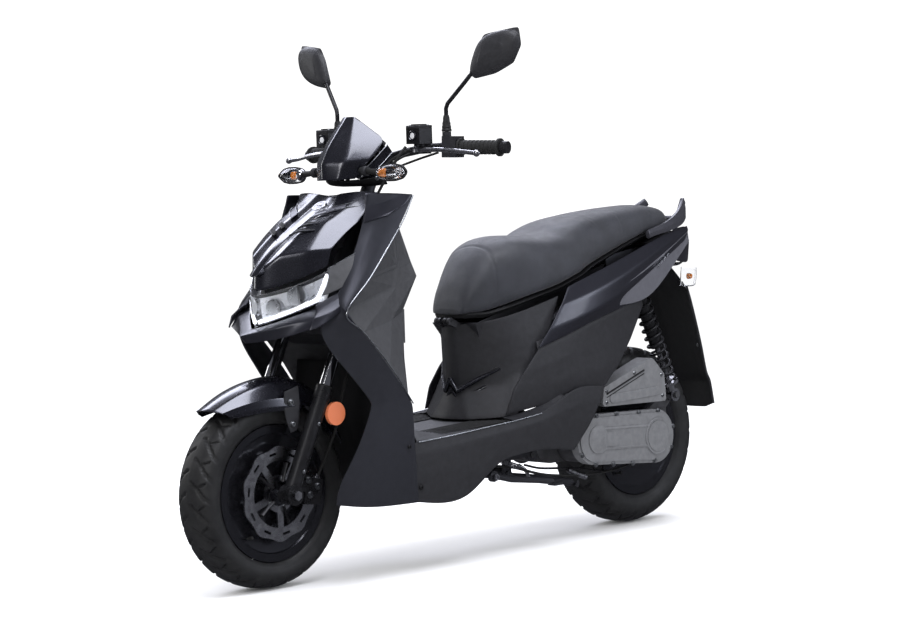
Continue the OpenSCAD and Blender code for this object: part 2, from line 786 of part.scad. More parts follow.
module wheel(rim_half, spoke_w, hub0, hub1, bore) {
    difference() {
        union() {
            rotate([0, 90, 0]) rotate_extrude($fn = 96) polygon([
                [136, -rim_half + 8], [144, -rim_half], [rim_r, -rim_half], [rim_r, -rim_half + 6],
                [146, -rim_half + 6.5], [146, rim_half - 6.5], [rim_r, rim_half - 6],
                [rim_r, rim_half], [144, rim_half], [136, rim_half - 8]
            ]);
            for (k = [0:4], s = [-1, 1])
                rotate([72 * k + 18, 0, 0]) rotate([13 * s, 0, 0])
                    translate([-spoke_w / 2 + 6, -9, 24]) cube([spoke_w, 18, 118]);
            cyl_x(36, hub0, hub1);
        }
        cyl_x(bore, hub0 - 1, hub1 + 1);
    }
}

module front_rim() {
    color("#121214") translate([0, front_axle_y, front_tyre_r])
        wheel(44, 24, -56, 56, 7.5 + fit);
}

// One side of a tyre's section, from the bead to the edge of the crown band: [radius, x].
function tyre_side(r, half, bead) = let (deep = r - rim_r) [
    [147, bead], [rim_r + 2, bead], [rim_r + 5, 0.87 * half], [rim_r + 0.42 * deep, half],
    [rim_r + 0.66 * deep, 0.98 * half], [rim_r + 0.84 * deep, 0.78 * half], [r - 2.5, crown_w / 2 + 7],
    [r, crown_w / 2]
];
function tyre_inside(r, half, bead) = let (deep = r - rim_r) [
    [147, bead - 6], [rim_r + 2, bead - 6], [rim_r + 0.42 * deep, half - 7],
    [rim_r + 0.7 * deep, 0.9 * half - 6], [r - 12, crown_w / 2]
];
function other_side(list) = [for (i = [len(list) - 1:-1:0]) [list[i][0], -list[i][1]]];

module tyre(r, half, bead) {
    outside = tyre_side(r, half, bead);
    inside = tyre_inside(r, half, bead);
    rotate([0, 90, 0]) rotate_extrude($fn = 120)
        polygon(concat(outside, other_side(outside), [for (p = inside) [p[0], -p[1]]],
            [for (i = [len(inside) - 1:-1:0]) inside[i]]));
}

module front_tyre() {
    color("#1b1b1d") translate([0, front_axle_y, front_tyre_r])
        tyre(front_tyre_r, front_tyre_w / 2, 37.5);
}

module front_disc() {
    waves = 10;
    color("silver") translate([0, front_axle_y, front_tyre_r]) rotate([0, 90, 0])
        translate([0, 0, 60]) linear_extrude(4) {
            difference() {
                polygon([for (a = [0:5:355])
                    (disc_r - 3 + 3 * cos(waves * a)) * [cos(a), sin(a)]]);
                circle(r = 80);
                for (k = [0:waves - 1]) rotate(36 * k + 10) translate([96, 0]) square([6, 22], center = true);
            }
            difference() {
                circle(r = 44);
                circle(r = 30);
            }
            for (k = [0:4]) rotate(72 * k) translate([42, -9]) square([40, 18]);
        }
    color("#1a1a1c") translate([0, front_axle_y, front_tyre_r])
        ring_x(44, 30, 56.1, 60);
}

// ---------- seat ----------

// Seat section: y, half-width, and the heights of the lower edge and of the top.
seat_sections = [
    [-44, 56, 618, 690], [-24, 84, 613, 742], [24, 100, 612, 778], [90, 116, 622, 802],
    [170, 132, 640, 812], [270, 142, 664, 806], [350, 144, 690, 826], [430, 132, 716, 850],
    [540, 118, 750, 862], [660, 104, 784, 872], [760, 88, 800, 872], [828, 66, 806, 838]
];
function seat_ring(y, w, z0, z1) = let (h = z1 - z0) [
    [-w * 0.92, y, z0], [-w, y, z0 + 0.22 * h], [-w * 0.97, y, z0 + 0.55 * h],
    [-w * 0.8, y, z0 + 0.84 * h], [-w * 0.45, y, z0 + 0.97 * h], [0, y, z1],
    [w * 0.45, y, z0 + 0.97 * h], [w * 0.8, y, z0 + 0.84 * h], [w * 0.97, y, z0 + 0.55 * h],
    [w, y, z0 + 0.22 * h], [w * 0.92, y, z0]
];

module seat_cushion() {
    color("#34343c") loft([for (s = seat_sections) seat_ring(s[0], s[1], s[2], s[3])]);
}

module seat_base() {
    color("#1a1a1c") {
        loft([for (s = [for (i = [2:len(seat_sections) - 1]) seat_sections[i]])
            [[-s[1] * 0.86, s[0], s[2] - 10], [-s[1] * 0.9, s[0], s[2] - 0.5],
             [s[1] * 0.9, s[0], s[2] - 0.5], [s[1] * 0.86, s[0], s[2] - 10]]]);
        difference() {
            union() {
                translate([-17, -10, 596]) cube([34, 44, 15]);
                translate(seat_hinge) cyl_x(9, -17, 17);
            }
            translate(seat_hinge) cyl_x(4 + fit, -20, 20);
        }
    }
}

// ---------- swinging engine unit ----------

// Outline of two circles joined by their common tangents, in the Y-Z plane.
module capsule(a, ra, b, rb, x0, x1) {
    d = norm(b - a);
    lean = acos((ra - rb) / d);
    turn = atan2(b[1] - a[1], b[0] - a[0]);
    translate([x0, 0, 0]) rotate([90, 0, 90]) linear_extrude(x1 - x0) {
        translate(a) circle(r = ra);
        translate(b) circle(r = rb);
        polygon([for (c = [[a, ra, 1], [b, rb, 1], [b, rb, -1], [a, ra, -1]])
            c[0] + c[1] * [cos(turn + c[2] * lean), sin(turn + c[2] * lean)]]);
    }
}

drive_front = [382, 262];
drive_rear = [632, 248];

module engine_case() {
    color("#1d1d1f") {
        capsule(drive_front, 62, drive_rear, 68, 80, 136);
        capsule([300, 262], 58, [364, 262], 58, -88, 79.5);
        translate(pivot) for (x = [-60, 30]) {
            cyl_x(15, x, x + 30);
            translate([x, 8, -12]) cube([30, 40, 24]);
        }
        cylinder_block();
        // Reduction box, axle stub and the bracket that carries the shock.
        translate([0, rear_axle_y, rear_tyre_r]) {
            cyl_x(52, 82, 110);
            cyl_x(9, -62, 90);
        }
        box([80, 640, 250], [100, 750, 310]);
        capsule([700, 290], 26, [shock_foot[1], shock_foot[2]], 16, 82, 90);
        translate([0, shock_foot[1], shock_foot[2]]) cyl_x(8, 82, 120);
    }
    color("silver") translate(pivot) cyl_x(8, -96, 96);
}

module cylinder_block() {
    color("#2a2a2c") translate([0, 262, 290]) rotate([62, 0, 0]) {
        cylinder(h = 110, r = 40);
        for (i = [0:6]) translate([0, 0, 26 + 9 * i]) cylinder(h = 4, r = 54);
        translate([-34, -34, 96]) cube([68, 68, 26]);
    }
}

module cvt_cover() {
    color("#77777c") {
        capsule(drive_front, 66, drive_rear, 72, 136.5, 162);
        capsule(drive_front, 58, drive_rear, 64, 162, drive_x - 16);
        capsule(drive_rear, 42, drive_rear + [1, 0], 42, drive_x - 16, drive_x - 12);
        capsule([392, 262], 18, [452, 258], 18, drive_x - 16, drive_x - 13);
    }
}

module air_box() {
    color("#6b6b70") translate([100, 0, 0]) rotate([90, 0, 90]) linear_extrude(52)
        polygon([[436, 394], [620, 455], [634, 458], [644, 452], [684, 412], [690, 344], [684, 338],
                 [436, 344], [430, 352]]);
}

module muffler() {
    color("#1a1a1c") {
        sweep([[-28, 168, 296], [-38, 96, 250], [-66, 84, 206], [-100, 108, 178], [-124, 180, 176],
               [-138, 280, 190], [-142, 404, 224]], 14, 12);
        rod([-142, 400, 224], [-142, 410, 226], 34);
        rod([-142, 410, 226], [-142, 760, 290], 50);
        rod([-142, 760, 290], [-142, 784, 294], 36);
    }
}

module rear_rim() {
    color("#121214") translate([0, rear_axle_y, rear_tyre_r])
        wheel(52, 30, -58, 60, 9 + fit);
}

module rear_tyre() {
    color("#1b1b1d") translate([0, rear_axle_y, rear_tyre_r])
        tyre(rear_tyre_r, rear_tyre_w / 2, 45.5);
}

// ---------- shock absorber ----------

shock_dir = unit(shock_foot - shock_top);
shock_len = norm(shock_foot - shock_top);
module on_shock() {
    translate(shock_top) rotate([atan2(shock_dir[1], -shock_dir[2]), 0, 0])
        mirror([0, 0, 1]) children();
}

module shock_body() {
    color("#1a1a1c") on_shock() {
        difference() {
            union() {
                cyl_x(15, -11, 11);
                cylinder_z(17, 10, 190);
                cylinder_z(27, 24, 30);
            }
            cyl_x(8 + fit, -20, 20);
            cylinder_z(7 + fit, 60, 200);
        }
    }
}

module shock_rod() {
    color("silver") on_shock() {
        cylinder_z(7, 142, shock_len - 14);
        difference() {
            union() {
                translate([0, 0, shock_len]) cyl_x(18, -11, 11);
                cylinder_z(27, shock_len - 44, shock_len - 36);
                cylinder_z(12, shock_len - 40, shock_len - 12);
            }
            translate([0, 0, shock_len]) cyl_x(9.5, -20, 20);
        }
    }
}

module shock_spring() {
    coils = 11;
    z0 = 34.5;
    z1 = shock_len - 48.5;
    color("#202022") on_shock()
        sweep([for (a = [0:20:360 * coils])
            [23 * cos(a), 23 * sin(a), z0 + (z1 - z0) * a / (360 * coils)]], 3.8, 8);
}

// ---------- stands ----------

stand_pivot = [0, 130, 196];
side_pivot = [150, 6, 206];

module centre_stand() {
    color("#1b1b1d") difference() {
        union() {
            pair() sweep([stand_pivot + [60, 0, 0], stand_pivot + [62, 40, -14], [104, 300, 162],
                          [122, 330, 152], [140, 336, 150]], 10, 10);
            sweep([[-94, 240, 167], [94, 240, 167]], 8, 10);
            translate(stand_pivot) cyl_x(15, -74, 74);
        }
        translate(stand_pivot) cyl_x(8 + fit, -80, 80);
    }
}

module side_stand() {
    color("#1b1b1d") difference() {
        union() {
            sweep([side_pivot + [3, 8, 0], side_pivot + [6, 60, -14], [162, 160, 180], [170, 206, 172]],
                8, 10);
            translate([158, 200, 162]) cube([26, 30, 6]);
            translate(side_pivot) cyl_x(14, -5, 6);
        }
        translate(side_pivot) cyl_x(6 + fit, -20, 20);
    }
}

// Every node is drawn in the centred frame.
module placed() {
    translate([0, shift_y, 0]) children();
}

placed() frame_tubes();
placed() front_cowl();
placed() headlight_housing();
placed() headlight_lens();
placed() beak();
placed() leg_shields();
placed() inner_shield();
placed() floorboard();
placed() floor_skirts();
placed() centre_cover();
placed() side_panels();
placed() lower_panels();
placed() storage_bucket();
placed() fuel_tank();
placed() grab_rail();
placed() tail_light();
placed() rear_mudguard();
placed() brake_lines();
placed() steering_stem();
placed() fork_stanchions();
placed() handlebar();
placed() switchgear();
placed() grip_left();
placed() master_cylinders();
placed() visor();
placed() instrument();
placed() front_indicators();
placed() fork_legs();
placed() front_fender();
placed() brake_caliper();
placed() front_axle();
placed() fork_reflectors();
placed() front_rim();
placed() front_tyre();
placed() front_disc();
placed() brake_lever_left();
placed() brake_lever_right();
placed() throttle_grip();
placed() mirror_stem_left();
placed() mirror_stem_right();
placed() mirror_head_left();
placed() mirror_head_right();
placed() starter_button();
placed() horn_button();
placed() indicator_switch();
placed() beam_switch();
placed() ignition_lock();
placed() seat_base();
placed() seat_cushion();
placed() engine_case();
placed() cvt_cover();
placed() air_box();
placed() muffler();
placed() rear_rim();
placed() rear_tyre();
placed() shock_body();
placed() shock_rod();
placed() shock_spring();
placed() centre_stand();
placed() side_stand();
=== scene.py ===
"""Looks of the moped scooter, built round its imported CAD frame."""

import json
import math

import bmesh
import bpy
from mathutils import Matrix, Vector


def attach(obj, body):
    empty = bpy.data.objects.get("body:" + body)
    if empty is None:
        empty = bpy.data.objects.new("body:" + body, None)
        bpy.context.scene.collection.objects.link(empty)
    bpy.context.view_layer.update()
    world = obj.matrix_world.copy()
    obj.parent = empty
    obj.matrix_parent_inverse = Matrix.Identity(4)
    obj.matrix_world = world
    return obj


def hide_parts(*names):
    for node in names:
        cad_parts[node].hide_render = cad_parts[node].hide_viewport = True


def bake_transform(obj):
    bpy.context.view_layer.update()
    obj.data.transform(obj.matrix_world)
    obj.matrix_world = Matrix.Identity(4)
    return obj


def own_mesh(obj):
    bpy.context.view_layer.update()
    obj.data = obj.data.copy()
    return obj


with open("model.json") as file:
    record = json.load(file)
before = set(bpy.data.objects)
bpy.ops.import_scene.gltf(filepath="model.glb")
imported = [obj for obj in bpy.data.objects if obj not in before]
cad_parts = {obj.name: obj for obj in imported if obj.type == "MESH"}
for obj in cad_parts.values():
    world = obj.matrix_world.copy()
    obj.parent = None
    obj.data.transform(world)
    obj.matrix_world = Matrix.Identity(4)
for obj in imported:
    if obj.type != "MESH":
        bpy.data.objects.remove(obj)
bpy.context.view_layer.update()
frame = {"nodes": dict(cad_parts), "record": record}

# The lists of points below are in millimetres, in the frame that the CAD source draws in.
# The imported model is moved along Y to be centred, by this many millimetres.
SHIFT_Y = -69.5
FRONT_AXLE = (0, -630, 229)
REAR_AXLE = (0, 680, 241)
RAKE = math.radians(26)
STEER_Y = -710
LEFT, RIGHT = 1, -1
SIDES = ((LEFT, "_left"), (RIGHT, "_right"))


# ---------- materials ----------

def node_material(name, color, roughness, metallic=0.0):
    """A new node material, and helpers to wire it: (material, nodes, links, shader)."""
    material = bpy.data.materials.new(name)
    material.use_nodes = True
    nodes, links = material.node_tree.nodes, material.node_tree.links
    shader = nodes["Principled BSDF"]
    shader.inputs["Base Color"].default_value = (*color, 1)
    shader.inputs["Roughness"].default_value = roughness
    shader.inputs["Metallic"].default_value = metallic
    return material, nodes, links, shader


def object_point(nodes):
    return nodes.new("ShaderNodeTexCoord").outputs["Object"]


def noise(nodes, links, scale, detail=3.0, roughness=0.5):
    texture = nodes.new("ShaderNodeTexNoise")
    texture.inputs["Scale"].default_value = scale
    texture.inputs["Detail"].default_value = detail
    texture.inputs["Roughness"].default_value = roughness
    links.new(object_point(nodes), texture.inputs["Vector"])
    return texture.outputs["Fac"]


def spread(nodes, links, value, low, high, start=0.3, end=0.7):
    """Maps a texture's start..end onto low..high."""
    node = nodes.new("ShaderNodeMapRange")
    node.inputs["From Min"].default_value = start
    node.inputs["From Max"].default_value = end
    node.inputs["To Min"].default_value = low
    node.inputs["To Max"].default_value = high
    links.new(value, node.inputs["Value"])
    return node.outputs["Result"]


def two_tone(nodes, links, value, dark, light, start=0.35, end=0.65):
    ramp = nodes.new("ShaderNodeValToRGB")
    ramp.color_ramp.elements[0].position = start
    ramp.color_ramp.elements[0].color = (*dark, 1)
    ramp.color_ramp.elements[1].position = end
    ramp.color_ramp.elements[1].color = (*light, 1)
    links.new(value, ramp.inputs["Fac"])
    return ramp.outputs["Color"]


def bump(nodes, links, shader, height, distance, strength=1.0, under=None):
    node = nodes.new("ShaderNodeBump")
    node.inputs["Strength"].default_value = strength
    node.inputs["Distance"].default_value = distance
    links.new(height, node.inputs["Height"])
    if under is not None:
        links.new(under, node.inputs["Normal"])
    links.new(node.outputs["Normal"], shader.inputs["Normal"])
    return node.outputs["Normal"]


def shade(color, factor):
    return tuple(min(1.0, c * factor) for c in color)


def paint(name, color, roughness, coat=0.0, peel=0.000004, dust=1.15, gleam=0.5):
    """Painted or gloss-moulded surface: orange peel, and a faint film of dust."""
    material, nodes, links, shader = node_material(name, color, roughness)
    cloud = noise(nodes, links, 60, 6, 0.6)
    links.new(two_tone(nodes, links, cloud, color, shade(color, dust)), shader.inputs["Base Color"])
    links.new(spread(nodes, links, noise(nodes, links, 90, 5), roughness * 0.93, roughness * 1.08),
              shader.inputs["Roughness"])
    bump(nodes, links, shader, noise(nodes, links, 700, 2), peel)
    shader.inputs["Coat Weight"].default_value = coat
    shader.inputs["Coat Roughness"].default_value = 0.1
    shader.inputs["Specular IOR Level"].default_value = gleam
    shader.inputs["Specular Tint"].default_value = (0.86, 0.87, 1.0, 1)
    return material


def grained(name, color, roughness, grain=1500, depth=0.00012):
    """Moulded plastic with a fine leather-like grain and rubbed, slightly shinier patches."""
    material, nodes, links, shader = node_material(name, color, roughness)
    cells = nodes.new("ShaderNodeTexVoronoi")
    cells.inputs["Scale"].default_value = grain
    links.new(object_point(nodes), cells.inputs["Vector"])
    soft = bump(nodes, links, shader, noise(nodes, links, 300, 3), depth * 0.6)
    bump(nodes, links, shader, cells.outputs["Distance"], depth, 1.0, soft)
    cloud = noise(nodes, links, 70, 5, 0.6)
    links.new(two_tone(nodes, links, cloud, shade(color, 0.9), shade(color, 1.12)),
              shader.inputs["Base Color"])
    links.new(spread(nodes, links, noise(nodes, links, 60, 4), roughness - 0.04, roughness + 0.04),
              shader.inputs["Roughness"])
    shader.inputs["Specular IOR Level"].default_value = 0.35
    return material


def metal(name, color, roughness, brushed=0.0):
    """Bare or plated metal, with fine scratches round the turning marks when brushed."""
    material, nodes, links, shader = node_material(name, color, roughness, 1.0)
    links.new(spread(nodes, links, noise(nodes, links, 60, 6), roughness * 0.75, roughness * 1.35),
              shader.inputs["Roughness"])
    cloud = noise(nodes, links, 18, 5)
    links.new(two_tone(nodes, links, cloud, shade(color, 0.82), color), shader.inputs["Base Color"])
    bump(nodes, links, shader, noise(nodes, links, 900, 4, 0.7), 0.000003 + brushed)
    return material


def cast(name, color, roughness, metallic=0.6):
    """Sand-cast alloy: a rough skin under dark paint."""
    material, nodes, links, shader = node_material(name, color, roughness, metallic)
    coarse = bump(nodes, links, shader, noise(nodes, links, 420, 5, 0.7), 0.0003)
    bump(nodes, links, shader, noise(nodes, links, 1600, 3), 0.0001, 1.0, coarse)
    cloud = noise(nodes, links, 22, 6, 0.65)
    links.new(two_tone(nodes, links, cloud, shade(color, 0.7), shade(color, 1.35)),
              shader.inputs["Base Color"])
    links.new(spread(nodes, links, cloud, roughness - 0.08, roughness + 0.1), shader.inputs["Roughness"])
    return material


def tyre_material():
    material, nodes, links, shader = node_material("tyre_rubber", (0.01, 0.01, 0.0105), 0.5)
    fine = bump(nodes, links, shader, noise(nodes, links, 1300, 4, 0.6), 0.00012)
    bump(nodes, links, shader, noise(nodes, links, 160, 3), 0.00015, 1.0, fine)
    cloud = noise(nodes, links, 30, 6, 0.7)
    links.new(two_tone(nodes, links, cloud, (0.008, 0.008, 0.009), (0.014, 0.014, 0.0145)),
              shader.inputs["Base Color"])
    links.new(spread(nodes, links, noise(nodes, links, 45, 4), 0.46, 0.58), shader.inputs["Roughness"])
    return material


def vinyl_material():
    """Seat cover: pebbled vinyl with a soft sheen and a slightly worn crown."""
    color = (0.022, 0.0235, 0.030)
    material, nodes, links, shader = node_material("seat_vinyl", color, 0.5)
    cells = nodes.new("ShaderNodeTexVoronoi")
    cells.feature = "DISTANCE_TO_EDGE"
    cells.inputs["Scale"].default_value = 620
    links.new(object_point(nodes), cells.inputs["Vector"])
    pebble = bump(nodes, links, shader, cells.outputs["Distance"], 0.0006, 0.8)
    bump(nodes, links, shader, noise(nodes, links, 70, 4), 0.0005, 0.6, pebble)
    cloud = noise(nodes, links, 11, 5)
    links.new(two_tone(nodes, links, cloud, shade(color, 0.85), shade(color, 1.25)),
              shader.inputs["Base Color"])
    links.new(spread(nodes, links, noise(nodes, links, 40, 4), 0.42, 0.58), shader.inputs["Roughness"])
    shader.inputs["Sheen Weight"].default_value = 0.12
    shader.inputs["Sheen Roughness"].default_value = 0.4
    return material


def lens_material(name, color, roughness=0.03, alpha_glow=0.0):
    """Clear or coloured polycarbonate."""
    material, nodes, links, shader = node_material(name, color, roughness)
    shader.inputs["Transmission Weight"].default_value = 1.0
    shader.inputs["IOR"].default_value = 1.45
    links.new(spread(nodes, links, noise(nodes, links, 50, 3), roughness, roughness + 0.03),
              shader.inputs["Roughness"])
    bump(nodes, links, shader, noise(nodes, links, 35, 2), 0.00003)
    if alpha_glow:
        shader.inputs["Emission Color"].default_value = (*color, 1)
        shader.inputs["Emission Strength"].default_value = alpha_glow
    return material


def reflector_material(name, color, pattern=420):
    """Moulded prism reflector under a clear face."""
    material, nodes, links, shader = node_material(name, color, 0.22)
    prisms = nodes.new("ShaderNodeTexVoronoi")
    prisms.inputs["Scale"].default_value = pattern
    prisms.inputs["Randomness"].default_value = 0.0
    links.new(object_point(nodes), prisms.inputs["Vector"])
    links.new(two_tone(nodes, links, prisms.outputs["Distance"], shade(color, 1.2), shade(color, 0.7),
                       0.1, 0.7), shader.inputs["Base Color"])
    bump(nodes, links, shader, prisms.outputs["Distance"], 0.0008, 0.6)
    shader.inputs["Coat Weight"].default_value = 1.0
    return material


GLOSS = paint("gloss_black", (0.003, 0.003, 0.005), 0.26, 0.7, gleam=0.8)
SATIN = paint("satin_black", (0.007, 0.007, 0.010), 0.34, 0.15, gleam=0.7)
SHIELD_PAINT = paint("satin_shield", (0.013, 0.0135, 0.017), 0.42, 0.0, gleam=0.45)
MATT = grained("matt_black", (0.017, 0.017, 0.020), 0.48)
GREY = grained("grey_plastic", (0.048, 0.049, 0.054), 0.52)
DARK = grained("dark_plastic", (0.006, 0.006, 0.007), 0.6)
RAIL = paint("rail_grey", (0.03, 0.03, 0.036), 0.35, 0.1)
FRAME_STEEL = paint("frame_steel", (0.014, 0.014, 0.016), 0.4, 0.2)
CAST_BLACK = cast("cast_black", (0.014, 0.014, 0.016), 0.3, 0.5)
RIM_BLACK = paint("rim_black", (0.004, 0.004, 0.005), 0.25, 0.5)
ENGINE = cast("engine_alloy", (0.05, 0.05, 0.055), 0.5, 0.4)
CASE_GREY = grained("case_grey", (0.115, 0.117, 0.124), 0.45, 1100, 0.0001)
EXHAUST = paint("exhaust_black", (0.014, 0.014, 0.014), 0.5, 0.0, 0.00004)
RUBBER = grained("line_rubber", (0.012, 0.012, 0.012), 0.5)
GRIP = grained("grip_rubber", (0.014, 0.014, 0.014), 0.65, 900, 0.0002)
TYRE = tyre_material()
VINYL = vinyl_material()
CHROME = metal("chrome_steel", (0.78, 0.78, 0.8), 0.07)
ALLOY = metal("silver_alloy", (0.62, 0.62, 0.64), 0.26)
ZINC = metal("zinc_plate", (0.5, 0.51, 0.52), 0.32)
STEEL = metal("disc_steel", (0.56, 0.56, 0.58), 0.26, 0.00001)
SILVER_TRIM = metal("trim_silver", (0.42, 0.43, 0.45), 0.3)
# Lamp reflector: a near-white base with metallic only 0.35, so its diffuse part lights it up all round.
# This brightness is a painted reflection standing in for the chrome's mirrored light.
PAINTED_REFLECTION_CHROME = metal("lamp_reflector_painted_reflection", (0.86, 0.87, 0.9), 0.3)
PAINTED_REFLECTION_CHROME.node_tree.nodes["Principled BSDF"].inputs["Metallic"].default_value = 0.35
DECAL_GREY = paint("decal_grey", (0.06, 0.06, 0.075), 0.35)
FACET_GREY = paint("facet_grey", (0.075, 0.076, 0.088), 0.3, 0.2)
MIRROR_GLASS = metal("mirror_glass", (0.85, 0.87, 0.9), 0.02)
LENS = lens_material("lens_clear", (0.97, 0.98, 1.0))
RED_LENS = reflector_material("tail_red", (0.3, 0.006, 0.008))
LAMP_CLEAR = lens_material("lamp_clear", (0.95, 0.96, 0.98), 0.06)
AMBER = reflector_material("amber_bulb", (0.85, 0.25, 0.03), 300)
ORANGE = reflector_material("reflector_orange", (0.6, 0.17, 0.075))
GUIDE = lens_material("light_guide", (0.92, 0.94, 1.0), 0.25, 0.9)

CAD_MATERIALS = {
    "frame_steel": FRAME_STEEL, "gloss_black": GLOSS, "satin_black": SATIN, "matt_black": MATT,
    "grey_plastic": GREY, "lens_clear": LENS, "reflector_chrome": CHROME, "tail_red": RED_LENS,
    "line_rubber": RUBBER, "chrome_steel": CHROME, "bar_steel": CAST_BLACK, "grip_rubber": GRIP,
    "lamp_clear": LAMP_CLEAR, "reflector_orange": ORANGE, "cast_black": CAST_BLACK,
    "tyre_rubber": TYRE, "disc_steel": STEEL, "silver_alloy": ALLOY, "seat_vinyl": VINYL,
    "engine_alloy": ENGINE, "case_grey": CASE_GREY, "exhaust_black": EXHAUST,
    "spring_steel": GLOSS, "mirror_shell": MATT,
}


def dress_cad_nodes():
    slots = {part["node"]: part["material_slot"] for part in frame["record"]["subparts"]}
    for name, piece in frame["nodes"].items():
        material = CAD_MATERIALS[slots[name]]
        piece.data.materials.clear()
        piece.data.materials.append(material)
        for face in piece.data.polygons:
            face.material_index = 0


# ---------- shapes ----------

def at(p):
    """A point in millimetres of the CAD source's frame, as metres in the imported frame."""
    return Vector((p[0] / 1000, (p[1] + SHIFT_Y) / 1000, p[2] / 1000))


def flipped(p, side):
    return (side * p[0], p[1], p[2])


def whole(rows):
    """Rows that start on the middle plane, made whole from right to left."""
    return [[(-p[0], p[1], p[2]) for p in reversed(row[1:])] + list(row) for row in rows]


def on_fork(x, forward, up):
    """A point of the fork's own frame, whose third axis runs up the steering axis."""
    return (x, STEER_Y + forward * math.cos(RAKE) + up * math.sin(RAKE),
            -forward * math.sin(RAKE) + up * math.cos(RAKE))


def new_piece(name, mesh, material):
    """Object in the scene that rides on no body yet."""
    piece = bpy.data.objects.new(name, mesh)
    bpy.context.scene.collection.objects.link(piece)
    mesh.materials.clear()
    mesh.materials.append(material)
    return piece


def add_piece(name, mesh, body, material, node=None):
    piece = new_piece(name, mesh, material)
    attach(piece, body)
    for one in ([node] if isinstance(node, str) else node or []):
        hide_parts(one)
    return piece


def smooth(mesh, angle=35):
    for face in mesh.polygons:
        face.use_smooth = True
    mesh.set_sharp_from_angle(angle=math.radians(angle))


def skin(name, body, rows, material, outward, thickness=3.0, levels=3, sharp_rows=(),
         sharp_columns=(), node=None, slot=None, bevel=0.9):
    """Smooth moulded panel through rows of points. Outward is a rough direction for its good side."""
    count, width = len(rows), len(rows[0])
    points = [at(p) for row in rows for p in row]
    faces = [(i * width + j, i * width + j + 1, (i + 1) * width + j + 1, (i + 1) * width + j)
             for i in range(count - 1) for j in range(width - 1)]
    mesh = bpy.data.meshes.new(name)
    mesh.from_pydata(points, [], faces)
    normal = sum((face.normal * face.area for face in mesh.polygons), Vector())
    if normal.dot(Vector(outward)) < 0:
        mesh.flip_normals()
    crease = mesh.attributes.new("crease_edge", "FLOAT", "EDGE")
    for edge in mesh.edges:
        a, b = sorted(edge.vertices)
        if b - a == 1 and a // width in dict(sharp_rows):
            crease.data[edge.index].value = dict(sharp_rows)[a // width]
        if b - a == width and a % width in dict(sharp_columns):
            crease.data[edge.index].value = dict(sharp_columns)[a % width]
    for face in mesh.polygons:
        face.use_smooth = True
    piece = add_piece(name, mesh, body, material, node)
    fine = piece.modifiers.new("smooth", "SUBSURF")
    fine.levels = fine.render_levels = levels
    fine.boundary_smooth = "PRESERVE_CORNERS"
    shell = piece.modifiers.new("shell", "SOLIDIFY")
    shell.thickness = thickness / 1000
    shell.offset = -1
    edges = piece.modifiers.new("edges", "BEVEL")
    edges.width = bevel / 1000
    edges.segments = 2
    edges.limit_method = "ANGLE"
    edges.angle_limit = math.radians(50)
    return piece


def skin_pair(name, body, rows, material, **options):
    """The same panel on both sides of the scooter."""
    return [skin(name + tag, body, [[flipped(p, side) for p in row] for row in rows], material,
                 (side, 0, 0), **options) for side, tag in ((LEFT, "_left"), (RIGHT, "_right"))]


def spline(points, steps=6):
    """Smooth curve through points, as a longer list of points."""
    points = [Vector(p) for p in points]
    ends = [points[0] * 2 - points[1], *points, points[-1] * 2 - points[-2]]
    fine = []
    for i in range(1, len(ends) - 2):
        a, b, c, d = ends[i - 1:i + 3]
        for step in range(steps):
            t = step / steps
            fine.append(0.5 * (2 * b + (c - a) * t + (2 * a - 5 * b + 4 * c - d) * t * t
                               + (3 * b - a - 3 * c + d) * t ** 3))
    return fine + [points[-1]]


def tube_mesh(points, radius, sides=12, radii=None, flatten=1.0):
    """Vertices and faces of a tube along points, in millimetres, with closed ends."""
    points = [Vector(p) for p in points]
    vertices, faces = [], []
    last = len(points) - 1
    guide = Vector((0, 0, 1))
    for i, p in enumerate(points):
        along = (points[min(i + 1, last)] - points[max(i - 1, 0)]).normalized()
        if abs(along.dot(guide)) > 0.95:
            guide = Vector((1, 0, 0)) if abs(along.x) < 0.9 else Vector((0, 1, 0))
        u = along.cross(guide).normalized()
        v = along.cross(u)
        guide = -v
        r = radii[i] if radii else radius
        for s in range(sides):
            turn = 2 * math.pi * s / sides
            vertices.append(p + u * (r * math.cos(turn)) + v * (r * flatten * math.sin(turn)))
    for i in range(last):
        for s in range(sides):
            t = (s + 1) % sides
            faces.append((i * sides + s, i * sides + t, (i + 1) * sides + t, (i + 1) * sides + s))
    faces.append(tuple(reversed(range(sides))))
    faces.append(tuple(last * sides + s for s in range(sides)))
    return vertices, faces


def mesh_from(name, shapes, angle=40):
    """One mesh from several (vertices, faces) in millimetres."""
    vertices, faces = [], []
    for shape_vertices, shape_faces in shapes:
        start = len(vertices)
        vertices.extend(at(p) for p in shape_vertices)
        faces.extend(tuple(start + k for k in face) for face in shape_faces)
    mesh = bpy.data.meshes.new(name)
    mesh.from_pydata(vertices, [], faces)
    helper = bmesh.new()
    helper.from_mesh(mesh)
    bmesh.ops.recalc_face_normals(helper, faces=helper.faces)
    helper.to_mesh(mesh)
    helper.free()
    smooth(mesh, angle)
    return mesh


def tubes(name, body, paths, radius, material, sides=12, node=None, flatten=1.0):
    shapes = [tube_mesh(path, radius, sides, None, flatten) for path in paths]
    return add_piece(name, mesh_from(name, shapes), body, material, node)


